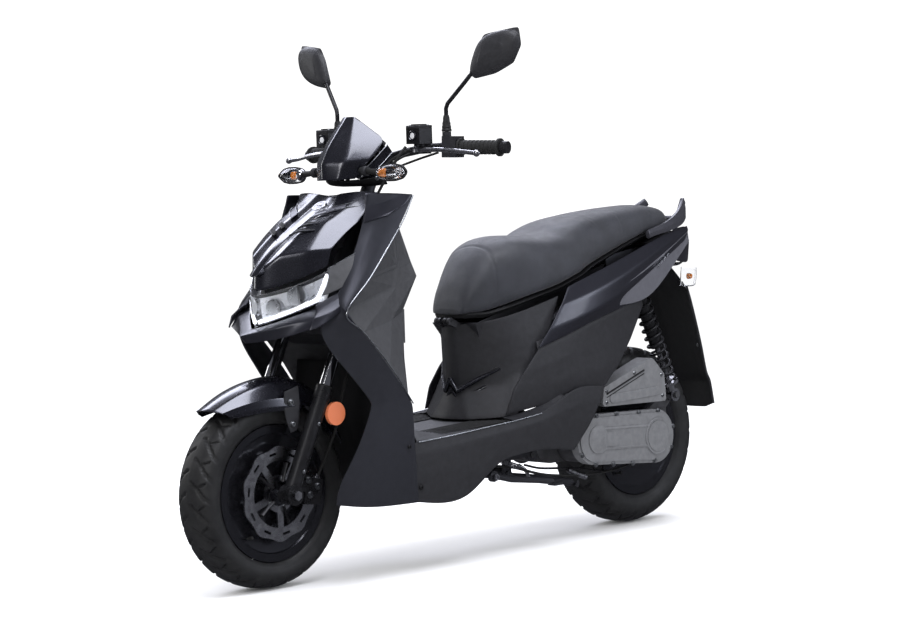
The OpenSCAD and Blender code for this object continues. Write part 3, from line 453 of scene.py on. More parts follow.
def lathe(centre, axis, profile, segments=32):
    """Turned shape: profile is (radius, distance along the axis) from one end to the other."""
    axis = Vector(axis).normalized()
    u = axis.orthogonal().normalized()
    v = axis.cross(u)
    centre = Vector(centre)
    vertices, faces = [], []
    for radius, height in profile:
        for s in range(segments):
            turn = 2 * math.pi * (s + 0.5) / segments
            vertices.append(centre + axis * height + u * (radius * math.cos(turn))
                            + v * (radius * math.sin(turn)))
    for i in range(len(profile) - 1):
        for s in range(segments):
            t = (s + 1) % segments
            faces.append((i * segments + s, i * segments + t,
                          (i + 1) * segments + t, (i + 1) * segments + s))
    faces.append(tuple(reversed(range(segments))))
    faces.append(tuple((len(profile) - 1) * segments + s for s in range(segments)))
    return vertices, faces


def bolt(centre, axis, radius, height):
    """Socket-head bolt: a flanged washer, a rounded head and its round recess."""
    head = lathe(centre, axis, [(radius * 1.35, 0), (radius * 1.35, height * 0.15),
                                (radius, height * 0.18), (radius, height * 0.85),
                                (radius * 0.85, height), (radius * 0.5, height),
                                (radius * 0.5, height * 0.5)], 24)
    return head


def hex_nut(centre, axis, radius, height):
    return lathe(centre, axis, [(radius * 0.9, 0), (radius, height * 0.1), (radius, height * 0.9),
                                (radius * 0.88, height), (radius * 0.5, height),
                                (radius * 0.5, height * 0.6)], 6)


def fasteners(name, body, shapes, material=None):
    return add_piece(name, mesh_from(name, shapes, 30), body, material or ZINC, None)


def strip(name, body, line_a, line_b, material, outward, thickness=0.8, slot=None):
    """Thin trim or decal between two lines."""
    return skin(name, body, [line_a, line_b], material, outward, thickness, 3, slot=slot, bevel=0.2)


# ---------- front body ----------

COWL = whole([
    [(0, -640, 704), (48, -596, 718), (92, -556, 738), (129, -512, 764)],
    [(0, -634, 742), (44, -596, 788), (100, -548, 798), (131, -500, 802)],
    [(0, -584, 792), (50, -562, 814), (98, -512, 834), (132, -456, 838)],
    [(0, -502, 842), (46, -503, 858), (92, -472, 868), (136, -412, 866)],
    [(0, -410, 896), (48, -418, 902), (94, -404, 906), (138, -376, 904)],
    [(0, -372, 925), (40, -380, 932), (86, -372, 936), (138, -352, 934)],
])
EMBLEM = Vector((0, -414, 901))
EMBLEM_AXIS = Vector((0, -0.55, 0.835))


def front_cowl():
    skin("cowl_shell", "frame", COWL, GLOSS, (0, -1, 0.6), 3, 3, [(1, 0.9), (3, 0.5)],
         [(2, 0.6), (4, 0.6), (1, 0.5), (5, 0.5)], node="front_cowl", slot="gloss_black")
    # Centre ridge with the round emblem at its top.
    skin("cowl_ridge", "frame", whole([
        [(0, -644, 742), (14, -633, 746), (21, -620, 748)],
        [(0, -594, 797), (15, -585, 800), (24, -574, 802)],
        [(0, -509, 848), (17, -507, 851), (27, -500, 851)],
        [(0, -418, 900), (20, -418, 903), (28, -414, 900)],
    ]), GLOSS, (0, -1, 0.6), 3, 3, [], [(1, 0.8), (3, 0.8)], slot="gloss_black")
    fasteners("emblem_ring", "frame", [lathe(EMBLEM, EMBLEM_AXIS, [
        (19, -8), (19, 3), (18, 4.5), (15.5, 4.5), (15, 3.2), (0.5, 3.2)], 48)], ALLOY)
    fasteners("emblem_face", "frame", [lathe(EMBLEM, EMBLEM_AXIS, [
        (14.8, 2), (14.8, 3.9), (0.5, 4.6)], 48)], GLOSS)
    dots = [lathe(EMBLEM + Vector((x, 0, 0)), EMBLEM_AXIS, [(1.6, 3), (1.6, 5.2), (0.4, 5.4)], 12)
            for x in (-7, -2.4, 2.4, 7)]
    fasteners("emblem_marks", "frame", dots, ALLOY)
    for side, tag in SIDES:
        def row(*points):
            return [flipped(p, side) for p in points]
        # Grey stripe from beside the emblem out to the shoulder.
        strip("cowl_strip" + tag, "frame", row((34, -478, 876), (68, -452, 889), (100, -414, 899),
                                               (132, -378, 900)),
              row((32, -460, 886), (66, -434, 899), (98, -400, 908), (130, -368, 914)),
              DECAL_GREY, (0, -1, 1), 1.6, "satin_black")
        lines = [spline(row((34, -479, 876.5), (68, -453, 890), (100, -415, 900), (132, -379, 901)), 5),
                 spline(row((32, -459, 887), (66, -433, 900), (98, -399, 909), (130, -367, 915)), 5)]
        tubes("cowl_lines" + tag, "frame", lines, 0.9, SILVER_TRIM, 8)
        # Two triangular air slots and their fins.
        for k, (y, z) in enumerate(((-540, 836), (-512, 852))):
            mouth = [row((28, y, z), (52, y + 10, z + 9), (80, y + 34, z + 10)),
                     row((30, y + 12, z + 10), (52, y + 20, z + 17), (78, y + 40, z + 14))]
            skin("cowl_slot%d%s" % (k, tag), "frame", mouth, DARK, (0, -1, 1), 1.4, 2,
                 slot="matt_black", bevel=0.3)
            fin = tube_mesh(spline(row((28, y - 1, z + 1), (54, y + 10, z + 10), (82, y + 35, z + 11)), 4),
                            1.3, 8)
            add_piece("cowl_fin%d%s" % (k, tag), mesh_from("cowl_fin", [fin]), "frame", SATIN, None)
    # Deck behind the cowl's top edge, round the steering column.
    skin("cowl_deck", "frame", whole([
        [(0, -370, 924), (86, -370, 931), (136, -350, 929)],
        [(0, -300, 918), (86, -296, 924), (150, -290, 922)],
        [(0, -212, 900), (86, -226, 908), (158, -264, 914)]]), MATT, (0, 0, 1), 3, 3,
        slot="matt_black")
    fasteners("key_cover", "frame", [lathe((130, -276, 912), (0, 0.1, 1), [
        (27, 0), (27, 5), (25, 9), (20, 13), (12, 15), (1, 16)], 40)], GREY)
    # Ribbed boot round the column, between the deck and the turning fairing.
    fasteners("column_boot", "frame", [lathe((0, -276, 914), (0, 0, 1), [
        (70, -6), (82, -2), (78, 2), (82, 6), (78, 10), (80, 13), (60, 14)], 56)],
        DARK)


LENS_ROWS = whole([
    [(0, -634, 622), (50, -600, 640), (104, -556, 664), (124, -540, 676)],
    [(0, -642, 658), (50, -604, 672), (104, -554, 696), (130, -526, 716)],
    [(0, -646, 696), (50, -604, 706), (104, -552, 730), (134, -514, 752)],
])


def deeper(rows, back, narrow=1.0):
    return [[(narrow * p[0], p[1] + back, p[2]) for p in row] for row in rows]


def headlight():
    skin("lamp_lens", "frame", LENS_ROWS, LENS, (0, -1, 0), 2.2, 3, [], [(3, 1.0)],
         node="headlight_lens", slot="lens_clear", bevel=0.4)
    # The housing, the bowls and the step below use the reflector material, whose brightness is a painted
    # reflection: a bright diffuse base in place of mirrored chrome.
    skin("lamp_back", "frame", deeper(LENS_ROWS, 30, 0.94), PAINTED_REFLECTION_CHROME, (0, -1, 0), 3, 2,
         [(1, 0.8)], [(3, 1.0), (1, 0.7), (2, 0.7), (4, 0.7), (5, 0.7)], node="headlight_housing",
         slot="reflector_chrome")
    for side, tag in SIDES:
        # Bright light guide along the lower and outer edges of each half.
        guide = spline([flipped(p, side) for p in (
            (6, -628, 634), (50, -596, 650), (100, -556, 674), (118, -540, 686), (124, -526, 712),
            (127, -512, 742))], 6)
        tubes("light_guide" + tag, "frame", [guide], 4.6, GUIDE, 12)
        inner = spline([flipped(p, side) for p in (
            (14, -610, 650), (50, -584, 662), (92, -550, 680), (106, -534, 694))], 6)
        tubes("light_blade" + tag, "frame", [inner], 2.6, SILVER_TRIM, 10)
        # Two reflector bowls with a lens in each.
        bowls, glass, trims = [], [], []
        for x, y, z, r in ((32, -598, 668, 17), (76, -564, 694, 21)):
            centre = (side * x, y, z)
            axis = (side * 0.35, -1, 0)
            bowls.append(lathe(centre, axis, [(r * 0.35, -16), (r * 0.7, -11), (r * 0.95, 0),
                                              (r, 6), (r * 1.06, 6), (r * 1.06, -16)], 32))
            glass.append(lathe(centre, axis, [(r * 0.62, -9), (r * 0.62, -4), (r * 0.5, 2),
                                              (r * 0.3, 5), (0.4, 6)], 32))
            trims.append(lathe(centre, axis, [(r * 1.06, 2), (r * 1.16, 3), (r * 1.14, 7),
                                              (r * 1.04, 7.4)], 32))
        fasteners("lamp_bowls" + tag, "frame", bowls, PAINTED_REFLECTION_CHROME)
        fasteners("lamp_projectors" + tag, "frame", glass, DARK)
        wings = [[flipped(p, side) for p in row] for row in (
            [(50, -606, 654), (78, -582, 664), (104, -556, 682)],
            [(46, -588, 664), (76, -566, 674), (98, -548, 686)])]
        skin("lamp_step" + tag, "frame", wings, PAINTED_REFLECTION_CHROME, (0, -1, 1), 1.5, 2, [(0, 1.0), (1, 1.0)],
             slot="reflector_chrome")
        fasteners("lamp_trims" + tag, "frame", trims, SILVER_TRIM)
        skin("lamp_brow" + tag, "frame", [[flipped(p, side) for p in row] for row in (
            [(4, -640, 694), (50, -600, 706), (102, -552, 728), (128, -516, 748)],
            [(4, -618, 690), (50, -582, 700), (98, -534, 722), (122, -500, 742)])],
            MATT, (0, 0, -1), 2, 3, slot="matt_black")
        skin("lamp_shelf" + tag, "frame", [[flipped(p, side) for p in row] for row in (
            [(4, -630, 626), (50, -598, 643), (102, -556, 667), (122, -540, 679)],
            [(4, -600, 626), (50, -566, 642), (96, -528, 664), (114, -508, 678)])],
            SATIN, (0, 0, 1), 2, 3, slot="satin_black")


BEAK = whole([
    [(0, -664, 586), (46, -636, 590), (96, -604, 602), (142, -588, 618)],
    [(0, -684, 604), (50, -640, 616), (104, -596, 634), (150, -560, 646)],
    [(0, -644, 618), (50, -606, 634), (106, -560, 658), (150, -480, 688)],
])


def beak():
    skin("beak_shell", "frame", BEAK, SATIN, (0, -1, -0.2), 3, 3, [(1, 0.95)], [(3, 0.9)],
         node="beak", slot="matt_black")
    skin("beak_under", "frame", whole([
        [(0, -668, 592), (46, -632, 598), (98, -592, 612), (138, -566, 626)],
        [(0, -600, 598), (46, -572, 606), (96, -540, 616), (136, -500, 632)],
        [(0, -560, 640), (46, -530, 646), (96, -500, 650), (136, -470, 660)]]),
        DARK, (0, 0, -1), 2.5, 3, slot="matt_black")
    # Pointed tips that wrap round the leg shields, and the wedge above them.
    skin_pair("beak_wing", "frame", [
        [(126, -552, 672), (150, -505, 697), (171, -458, 722)],
        [(138, -562, 661), (166, -514, 684), (180, -470, 708)],
        [(150, -580, 644), (172, -538, 656), (181, -502, 682)],
        [(148, -592, 616), (168, -572, 624), (178, -520, 656)]],
        SATIN, thickness=4, sharp_rows=[(1, 0.9), (2, 0.9)], slot="satin_black")
    wedge = [
        [(133, -516, 756), (146, -470, 778), (158, -430, 797)],
        [(140, -516, 728), (156, -480, 742), (168, -456, 756)],
        [(134, -540, 692), (154, -500, 706), (169, -476, 724)]]
    skin_pair("beak_wedge", "frame", wedge, GREY, thickness=3, slot="grey_plastic")
    for side, tag in SIDES:
        edges = [spline([flipped(p, side) for p in wedge[0]], 6),
                 spline([flipped(row[-1], side) for row in wedge], 6)]
        tubes("wedge_lines" + tag, "frame", edges, 1.1, SILVER_TRIM, 8)


SHIELD = [
    [(148, -388, 930), (156, -346, 928), (163, -302, 925), (168, -262, 922)],
    [(147, -408, 868), (160, -374, 872), (171, -334, 870), (176, -302, 868)],
    [(150, -436, 806), (166, -420, 812), (177, -388, 816), (181, -352, 814)],
    [(154, -472, 752), (171, -462, 746), (187, -448, 737), (191, -436, 730)],
    [(152, -500, 700), (176, -522, 676), (192, -525, 661), (196, -520, 651)],
    [(146, -588, 617), (182, -520, 610), (196, -488, 606), (200, -468, 602)],
    [(166, -500, 520), (190, -440, 515), (200, -402, 512), (203, -384, 510)],
    [(180, -428, 430), (194, -392, 428), (200, -350, 425), (203, -318, 422)],
    [(176, -470, 330), (190, -430, 330), (194, -384, 330), (200, -312, 330)],
    [(150, -522, 240), (178, -478, 240), (190, -418, 236), (192, -300, 232)],
    [(140, -520, 194), (172, -484, 188), (184, -420, 180), (186, -292, 178)],
]
WALL = whole([
    [(0, -352, 522), (90, -354, 522), (156, -366, 522)],
    [(0, -350, 480), (90, -352, 480), (164, -368, 480)],
    [(0, -346, 340), (90, -346, 340), (180, -352, 340)],
    [(0, -338, 225), (90, -338, 225), (178, -344, 225)],
])

def leg_shields():
    skin_pair("leg_shield", "frame", SHIELD, SHIELD_PAINT, thickness=4, node="leg_shields",
                       slot="satin_black", sharp_rows=[(4, 0.5), (7, 0.5)],
                       sharp_columns=[(1, 0.35)])
    for side, tag in SIDES:
        edge = spline([flipped((p[0] + 0.6, p[1] + 1.5, p[2]), side) for p in
                       [row[-1] for row in SHIELD[:8]]], 6)
        tubes("shield_line" + tag, "frame", [edge], 1.7, SILVER_TRIM, 8)
    # Bright facet on the shields' shoulders.
    skin_pair("shield_cap", "frame", [
        [(140, -392, 931), (156, -330, 931), (169, -262, 925)],
        [(150, -402, 890), (164, -354, 894), (173, -290, 902)],
        [(152, -410, 862), (163, -380, 868), (171, -348, 878)]],
        SATIN, thickness=3, sharp_rows=[(1, 0.3)], slot="satin_black")
    skin("wheel_wall", "frame", WALL, DARK, (0, -1, 0), 3, 2, slot="matt_black")


def screw(p, axis, radius=6.5):
    return lathe(p, axis, [(radius, -2), (radius, 1), (radius * 0.8, 2.4), (radius * 0.42, 2.6),
                           (radius * 0.42, 0.6)], 24)


# ---------- fenders and wheels ----------

FENDER = whole([
    [(0, -805, 440), (28, -796, 437), (50, -778, 431)],
    [(0, -732, 478), (38, -728, 470), (64, -720, 446)],
    [(0, -651, 504), (44, -650, 492), (72, -646, 448)],
    [(0, -575, 512), (46, -575, 498), (74, -575, 438)],
    [(0, -500, 488), (46, -502, 474), (74, -506, 424)],
    [(0, -440, 430), (44, -444, 420), (62, -452, 386)],
    [(0, -404, 350), (40, -408, 344), (54, -416, 326)],
])


def front_fender():
    skin("fender_shell", "fork_lower", FENDER, GLOSS, (0, -0.4, 1), 3, 3, [], [(1, 0.7), (3, 0.7)],
         node="front_fender", slot="gloss_black")
    skin_pair("fender_blade", "fork_lower", [
        [(50, -782, 434), (66, -724, 452), (74, -650, 458), (76, -566, 452)],
        [(56, -770, 424), (70, -716, 434), (78, -648, 438), (80, -566, 434)],
        [(50, -764, 418), (68, -712, 424), (77, -644, 428), (79, -566, 424)]],
        GLOSS, thickness=3, sharp_rows=[(1, 0.9)], slot="gloss_black")
    skin_pair("fender_bracket", "fork_lower", [
        [(76, -614, 470), (77, -572, 482)],
        [(79, -622, 420), (81, -570, 424)],
        [(80, -602, 372), (81, -584, 376)]], MATT, thickness=3, slot="matt_black")
    shapes = []
    for side in (LEFT, RIGHT):
        for y, z in ((-600, 444), (-596, 392)):
            shapes.append(bolt((side * 79, y, z), (side, 0, 0), 6, 6))
    fasteners("fender_bolts", "fork_lower", shapes)


def tyre(name, body, centre, radius, half, bead, sipes, node):
    """Tyre with curved sipes cut into a rounded crown, and rings moulded on its walls."""
    rim = 163
    deep = radius - rim
    outline = [(rim + 1, bead), (rim + 4, 0.84 * half), (rim + 0.2 * deep, 0.94 * half),
               (rim + 0.42 * deep, half), (rim + 0.62 * deep, 0.985 * half),
               (rim + 0.76 * deep, 0.9 * half), (rim + 0.87 * deep, 0.74 * half),
               (rim + 0.95 * deep, 0.52 * half), (radius - 1, 0.28 * half), (radius, 0)]
    side_line = [(p.x, p.y) for p in spline([(r, x, 0) for r, x in outline], 4)]
    across = [(r, x) for r, x in side_line] + [(r, -x) for r, x in reversed(side_line[:-1])]
    count = 640
    vertices, faces = [], []
    for k in range(count):
        turn = 2 * math.pi * k / count
        for r, x in across:
            s = x / half
            grip = max(0.0, min(1.0, (r - rim - 0.55 * deep) / (0.2 * deep)))
            cut = 0.0
            if grip > 0:
                sweep = 0.55 * abs(s) ** 1.6
                phase = (turn * sipes / (2 * math.pi) - sweep * 1.6 + (0.5 if s < 0 else 0)) % 1
                wide = 0.13 + 0.12 * abs(s)
                if phase < wide and abs(s) > 0.1:
                    cut = 1
                phase2 = (turn * sipes / (2 * math.pi) + sweep * 0.9 + 0.55 + (0.5 if s < 0 else 0)) % 1
                if phase2 < 0.1 and 0.42 < abs(s) < 0.86:
                    cut = 1
            drop = 5.0 * cut * grip
            ring = 0.7 if rim + 0.14 * deep < r < rim + 0.2 * deep else 0.0
            length = r - drop * (0.75 if abs(s) < 0.9 else 0.3)
            width = x - math.copysign(drop * 0.4 if abs(s) > 0.6 else 0.0, x) + math.copysign(ring, x)
            vertices.append((centre[0] + width, centre[1] + length * math.cos(turn),
                             centre[2] + length * math.sin(turn)))
    n = len(across)
    for k in range(count):
        for j in range(n - 1):
            a, b = k * n + j, ((k + 1) % count) * n + j
            faces.append((a, a + 1, b + 1, b))
    mesh = mesh_from(name, [(vertices, faces)], 60)
    return add_piece(name, mesh, body, TYRE, node)


def wheels():
    tyre("front_tyre_tread", "front_wheel", FRONT_AXLE, 228.6, 55, 40, 26, "front_tyre")
    tyre("rear_tyre_tread", "rear_wheel", REAR_AXLE, 240.6, 63, 48, 26, "rear_tyre")
    hub = Vector(FRONT_AXLE)
    shapes = []
    for k in range(5):
        turn = math.radians(72 * k)
        offset = Vector((64, 36 * math.cos(turn), 36 * math.sin(turn)))
        shapes.append(bolt(hub + offset, (1, 0, 0), 6, 2.4))
    fasteners("disc_bolts", "front_wheel", shapes)
    carrier = []
    for k in range(5):
        turn = math.radians(72 * k)
        a = hub + Vector((60.5, 30 * math.cos(turn), 30 * math.sin(turn)))
        b = hub + Vector((63.5, 76 * math.cos(turn), 76 * math.sin(turn)))
        carrier.append(tube_mesh([a, a.lerp(b, 0.5), b], 10, 12, [13, 9, 10], 0.4))
    add_piece("disc_carrier", mesh_from("disc_carrier", carrier), "front_wheel", CAST_BLACK, None)
    for body, centre, half in (("front_wheel", FRONT_AXLE, 44), ("rear_wheel", REAR_AXLE, 52)):
        centre = Vector(centre)
        lips = [lathe(centre, (side, 0, 0), [(155, half - 3), (161.5, half - 1), (162.8, half),
                                             (162.8, half - 2.5), (156, half - 4.4)], 128)
                for side in (1, -1)]
        fasteners(body + "_lip", body, lips, RIM_BLACK)
        valve = centre + Vector((half - 14, 134 * math.cos(4.0), 134 * math.sin(4.0)))
        fasteners(body + "_valve", body, [lathe(valve, (0.9, -0.3 * math.cos(4.0), -0.3 * math.sin(4.0)), [
            (4.6, 0), (4.2, 4), (3.2, 6), (3.2, 18), (4.2, 18.5), (4.2, 27), (1, 28)], 20)],
            RUBBER)
    frame["nodes"]["front_rim"].data.materials[0] = RIM_BLACK
    frame["nodes"]["rear_rim"].data.materials[0] = RIM_BLACK



# ---------- floor, cover and side panels ----------

FLOOR = whole([
    [(0, -218, 352), (90, -236, 352), (140, -262, 348), (182, -288, 326)],
    [(0, -160, 330), (90, -160, 330), (140, -180, 329), (182, -200, 328)],
    [(0, -60, 336), (90, -60, 336), (140, -60, 336), (182, -60, 335)],
    [(0, 40, 341), (90, 40, 341), (140, 60, 342), (182, 60, 341)],
    [(0, 120, 345), (90, 120, 345), (140, 128, 346), (182, 160, 350)],
])
SKIRT = [
    [(185, -318, 322), (188, -289, 324), (189, -180, 329), (190, -76, 336), (190, 60, 345),
     (189, 150, 354), (186, 240, 386), (180, 306, 414), (176, 412, 402)],
    [(189, -318, 296), (193, -289, 296), (194, -180, 304), (195, -76, 314), (195, 60, 326),
     (193, 150, 334), (190, 240, 352), (184, 306, 366), (180, 396, 372)],
    [(188, -320, 240), (193, -289, 240), (194, -200, 238), (194, -100, 244), (193, 20, 276),
     (192, 130, 290), (189, 200, 300), (184, 270, 300), (180, 350, 310)],
    [(180, -314, 180), (186, -289, 178), (187, -203, 162), (188, -110, 170), (190, -18, 250),
     (190, 60, 258), (188, 140, 262), (184, 200, 258), (178, 284, 246)],
]
COVER = whole([
    [(0, 12, 584), (20, 16, 585), (64, 48, 588), (106, 100, 598), (124, 200, 622), (132, 290, 646)],
    [(0, 12, 548), (20, 16, 548), (70, 52, 548), (114, 106, 548), (136, 178, 548), (148, 236, 562)],
    [(0, 16, 470), (22, 22, 470), (80, 64, 470), (124, 124, 470), (142, 152, 480), (150, 198, 494)],
    [(0, 20, 420), (24, 28, 424), (82, 66, 428), (126, 108, 430), (144, 118, 440), (150, 168, 446)],
    [(0, -14, 346), (66, 6, 346), (112, 40, 348), (134, 58, 350), (144, 64, 352), (149, 104, 354)],
])
SIDE = [
    [(140, 320, 668), (146, 400, 694), (143, 500, 722), (134, 600, 750), (120, 700, 776),
     (102, 800, 797), (84, 880, 806)],
    [(160, 270, 622), (170, 370, 644), (170, 470, 674), (160, 570, 706), (142, 670, 740),
     (118, 780, 776), (90, 878, 796)],
    [(164, 222, 566), (174, 330, 586), (174, 430, 616), (166, 530, 650), (150, 640, 696),
     (124, 768, 750), (92, 872, 784)],
    [(160, 180, 518), (166, 280, 544), (166, 380, 574), (160, 470, 592), (148, 560, 614),
     (142, 640, 612), (114, 788, 708)],
]
LOWER = [
    [(148, 184, 534), (154, 284, 560), (154, 384, 590), (148, 474, 608), (137, 560, 630),
     (126, 630, 624)],
    [(158, 180, 512), (164, 280, 538), (164, 380, 568), (158, 470, 586), (146, 556, 608),
     (136, 622, 600)],
    [(158, 130, 464), (168, 230, 478), (168, 330, 500), (164, 420, 524), (156, 500, 532),
     (148, 556, 518)],
    [(154, 88, 416), (164, 180, 424), (170, 290, 436), (170, 370, 446), (168, 430, 450),
     (160, 490, 452)],
    [(150, 66, 358), (160, 170, 368), (166, 280, 384), (167, 350, 388), (166, 400, 392),
     (164, 428, 402)],
]


def floor_and_covers():
    skin("floor_skin", "frame", FLOOR, GREY, (0, 0, 1), 4, 2, [(1, 0.4)], node="floorboard",
         slot="grey_plastic")
    ribs = []
    for side in (LEFT, RIGHT):
        for i in range(8):
            x = side * (72 + 13 * i)
            front = -172 - 5 * max(0, i - 4)
            ribs.append(tube_mesh([(x, front, 333.5), (x, -60, 338), (x, 30, 342), (x, 70 + 8 * i, 345)],
                                  2.6, 8, [1.2, 2.6, 2.6, 1.2], 0.7))
    add_piece("floor_ribs", mesh_from("floor_ribs", ribs), "frame", RUBBER, None)
    skin_pair("skirt", "frame", SKIRT, MATT, thickness=4, sharp_rows=[(1, 0.8), (2, 0.3)],
              node="floor_skirts", slot="matt_black")
    for side, tag in SIDES:
        line = spline([flipped((p[0] + 1.2, p[1], p[2] + 0.6), side) for p in SKIRT[0][1:6]], 8)
        tubes("skirt_line" + tag, "frame", [line], 1.5, SILVER_TRIM, 8)
        step = [[flipped(p, side) for p in row] for row in (
            [(184, 196, 364), (182, 240, 383), (176, 306, 410), (172, 404, 399)],
            [(168, 196, 366), (172, 240, 386), (168, 306, 404), (166, 404, 396)])]
        skin("passenger_step" + tag, "frame", step, GREY, (0, 0, 1), 4, 3, slot="grey_plastic")
    skin("centre_skin", "frame", COVER, MATT, (0, -1, 0), 3, 3, [(1, 0.5), (3, 0.7)],
         [(4, 0.7), (6, 0.7)], node="centre_cover", slot="matt_black")
    for k, (points, radius) in enumerate((
            ([(0, 14, 446), (21, 18, 416), (62, 50, 444), (104, 94, 470)], 6.5),
            ([(0, 17, 421), (24, 24, 390), (52, 44, 408), (80, 64, 426)], 5.5))):
        for side, tag in SIDES:
            path = [flipped(p, side) for p in points]
            slot_shape = tube_mesh(path, radius, 12, [radius, radius, radius * 0.9, 2])
            lip = tube_mesh([(x, y - 3, z + radius) for x, y, z in path], 1.4, 8)
            add_piece("cover_vent%d%s" % (k, tag), mesh_from("cover_vent", [slot_shape]), "frame", GLOSS,
                      None)
            add_piece("cover_lip%d%s" % (k, tag), mesh_from("cover_lip", [lip]), "frame", MATT, None)
    # Shelf that closes the slot between the lower panel and the floor's ledge.
    skin_pair("ledge_filler", "frame", [
        [(140, 60, 350), (150, 120, 358), (158, 190, 372), (160, 250, 396)],
        [(188, 60, 344), (188, 120, 350), (186, 200, 364), (182, 260, 388)]], MATT, thickness=3,
        slot="matt_black")
    # Cover that closes the space under the floor.
    skin("belly_pan", "frame", whole([
        [(0, -190, 226), (60, -190, 226), (78, -180, 238)],
        [(0, -60, 196), (58, -60, 196), (76, -60, 214)],
        [(0, 70, 196), (54, 70, 196), (72, 70, 214)],
        [(0, 120, 222), (50, 120, 222), (68, 120, 236)]]), DARK, (0, 0, -1), 4, 3, slot="matt_black")


def side_panels():
    skin_pair("side_panel", "frame", SIDE, SATIN, thickness=4, sharp_rows=[(1, 0.55), (2, 0.6)],
              node="side_panels", slot="satin_black")
    skin_pair("lower_panel", "frame", LOWER, MATT, thickness=4, sharp_rows=[(1, 0.6), (2, 0.5), (3, 0.5)],
              node="lower_panels", slot="matt_black")
    for side, tag in SIDES:
        facet = [[flipped(p, side) for p in row] for row in (
            [(171, 430, 634), (167, 520, 662), (150, 640, 708), (126, 760, 752), (92, 872, 790)],
            [(170, 420, 622), (164, 520, 634), (150, 610, 652), (131, 730, 716), (90, 876, 778)],
            [(164, 424, 604), (156, 520, 610), (147, 632, 612), (126, 750, 686), (91, 880, 764)])]
        skin("side_facet" + tag, "frame", facet, FACET_GREY, (side, 0, 0), 1.6, 3,
             slot="satin_black", bevel=0.4)
        badge = []
        for k in range(4):
            y, z = 676 + 17 * k, 706 + 8.4 * k
            x = 147 - 3.4 * k
            badge.append(tube_mesh([flipped(p, side) for p in (
                (x, y, z - 5), (x - 1.2, y + 8, z + 5))], 2.0, 6, None, 0.6))
        add_piece("side_badge" + tag, mesh_from("side_badge" + tag, badge), "frame", SILVER_TRIM,
                  None)


# ---------- seat ----------

# Along the seat: y, half-width, lower edge, crown height.
SEAT = [
    (12, 48, 613, 626), (18, 58, 612, 650), (32, 67, 612, 684), (52, 76, 612, 718), (76, 87, 613, 752),
    (104, 99, 619, 780), (140, 114, 629, 797), (180, 128, 641, 806), (230, 139, 654, 806),
    (290, 142, 668, 804), (340, 143, 684, 812), (380, 140, 696, 830), (430, 132, 716, 845),
    (500, 123, 738, 855), (580, 113, 762, 863), (660, 104, 784, 868), (730, 94, 796, 870),
    (790, 79, 802, 862), (822, 62, 808, 842),
]


def seat_profile(t):
    """Cross-section shape from one lower edge over the crown: (share of width, share of height)."""
    points = [(-0.90, 0.0), (-0.99, 0.10), (-1.0, 0.28), (-0.985, 0.50), (-0.94, 0.68), (-0.84, 0.83),
              (-0.68, 0.915), (-0.45, 0.965), (-0.2, 0.992), (0, 1.0)]
    return points[t] if t < len(points) else (-points[18 - t][0], points[18 - t][1])


def seat_cushion():
    count = 19
    stations = spline([(y, w, z0) for y, w, z0, _ in SEAT], 14)
    tops = spline([(y, z1, 0) for y, _, _, z1 in SEAT], 14)
    vertices, faces = [], []
    # Cross seams: centre, how far the ends lie forward, and where they start across the seat.
    seams = ((112, 14, 0.0), (500, 62, 0.0), (575, 0, 0.8))
    for station, top in zip(stations, tops):
        y, w, z0 = station
        z1 = top.y
        for t in range(count):
            a, b = seat_profile(t)
            x, z = a * w, z0 + b * (z1 - z0)
            crown = max(0.0, b - 0.25) / 0.75
            groove = 0.0
            for seam_y, bow, start in seams:
                if abs(a) >= start:
                    groove += 4.0 * math.exp(-((y - seam_y + bow * a * a) / 3.4) ** 2)
            edge = 3.4 * math.exp(-((abs(a) - 0.84) / 0.03) ** 2) if y < 104 and b > 0.5 else 0.0
            inward = (groove + edge) * crown
            vertices.append((x * (1 - 0.25 * inward / w), y, z - 0.9 * inward))
    m = len(stations)
    for i in range(m - 1):
        for t in range(count):
            u = (t + 1) % count
            faces.append((i * count + t, i * count + u, (i + 1) * count + u, (i + 1) * count + t))
    faces.append(tuple(reversed(range(count))))
    faces.append(tuple((m - 1) * count + t for t in range(count)))
    mesh = mesh_from("seat_cover", [(vertices, faces)], 180)
    piece = add_piece("seat_cover", mesh, "seat", VINYL, "seat_cushion")
    rounding = piece.modifiers.new("smooth", "SUBSURF")
    rounding.levels = rounding.render_levels = 1
    tray = [[(-0.86 * w, y, z0 - 10), (-0.95 * w, y, z0 - 1), (-0.9 * w, y, z0 + 4), (0, y, z0 + 4),
             (0.9 * w, y, z0 + 4), (0.95 * w, y, z0 - 1), (0.86 * w, y, z0 - 10), (0, y, z0 - 10)]
            for y, w, z0 in spline([(y + 4, w, z0) for y, w, z0, _ in SEAT], 4)]
    vertices = [p for ring in tray for p in ring]
    faces = [(8 * i + k, 8 * i + (k + 1) % 8, 8 * i + 8 + (k + 1) % 8, 8 * i + 8 + k)
             for i in range(len(tray) - 1) for k in range(8)]
    faces += [tuple(reversed(range(8))), tuple(8 * (len(tray) - 1) + k for k in range(8))]
    hinge = [lathe((x, -2, 596), (1, 0, 0), [(4, 0), (9, 0.6), (9, 9.4), (4, 10)], 28) for x in (-15, 5)]
    arms = [tube_mesh([(x, -2, 596), (x, 14, 602), (x, 34, 606)], 7, 10, None, 0.7) for x in (-10, 10)]
    add_piece("seat_tray", mesh_from("seat_tray", [(vertices, faces)]), "seat", DARK, "seat_base")
    add_piece("seat_hinge_arms", mesh_from("seat_hinge_arms", [*hinge, *arms]), "seat", CAST_BLACK,
              None)


# ---------- tail ----------

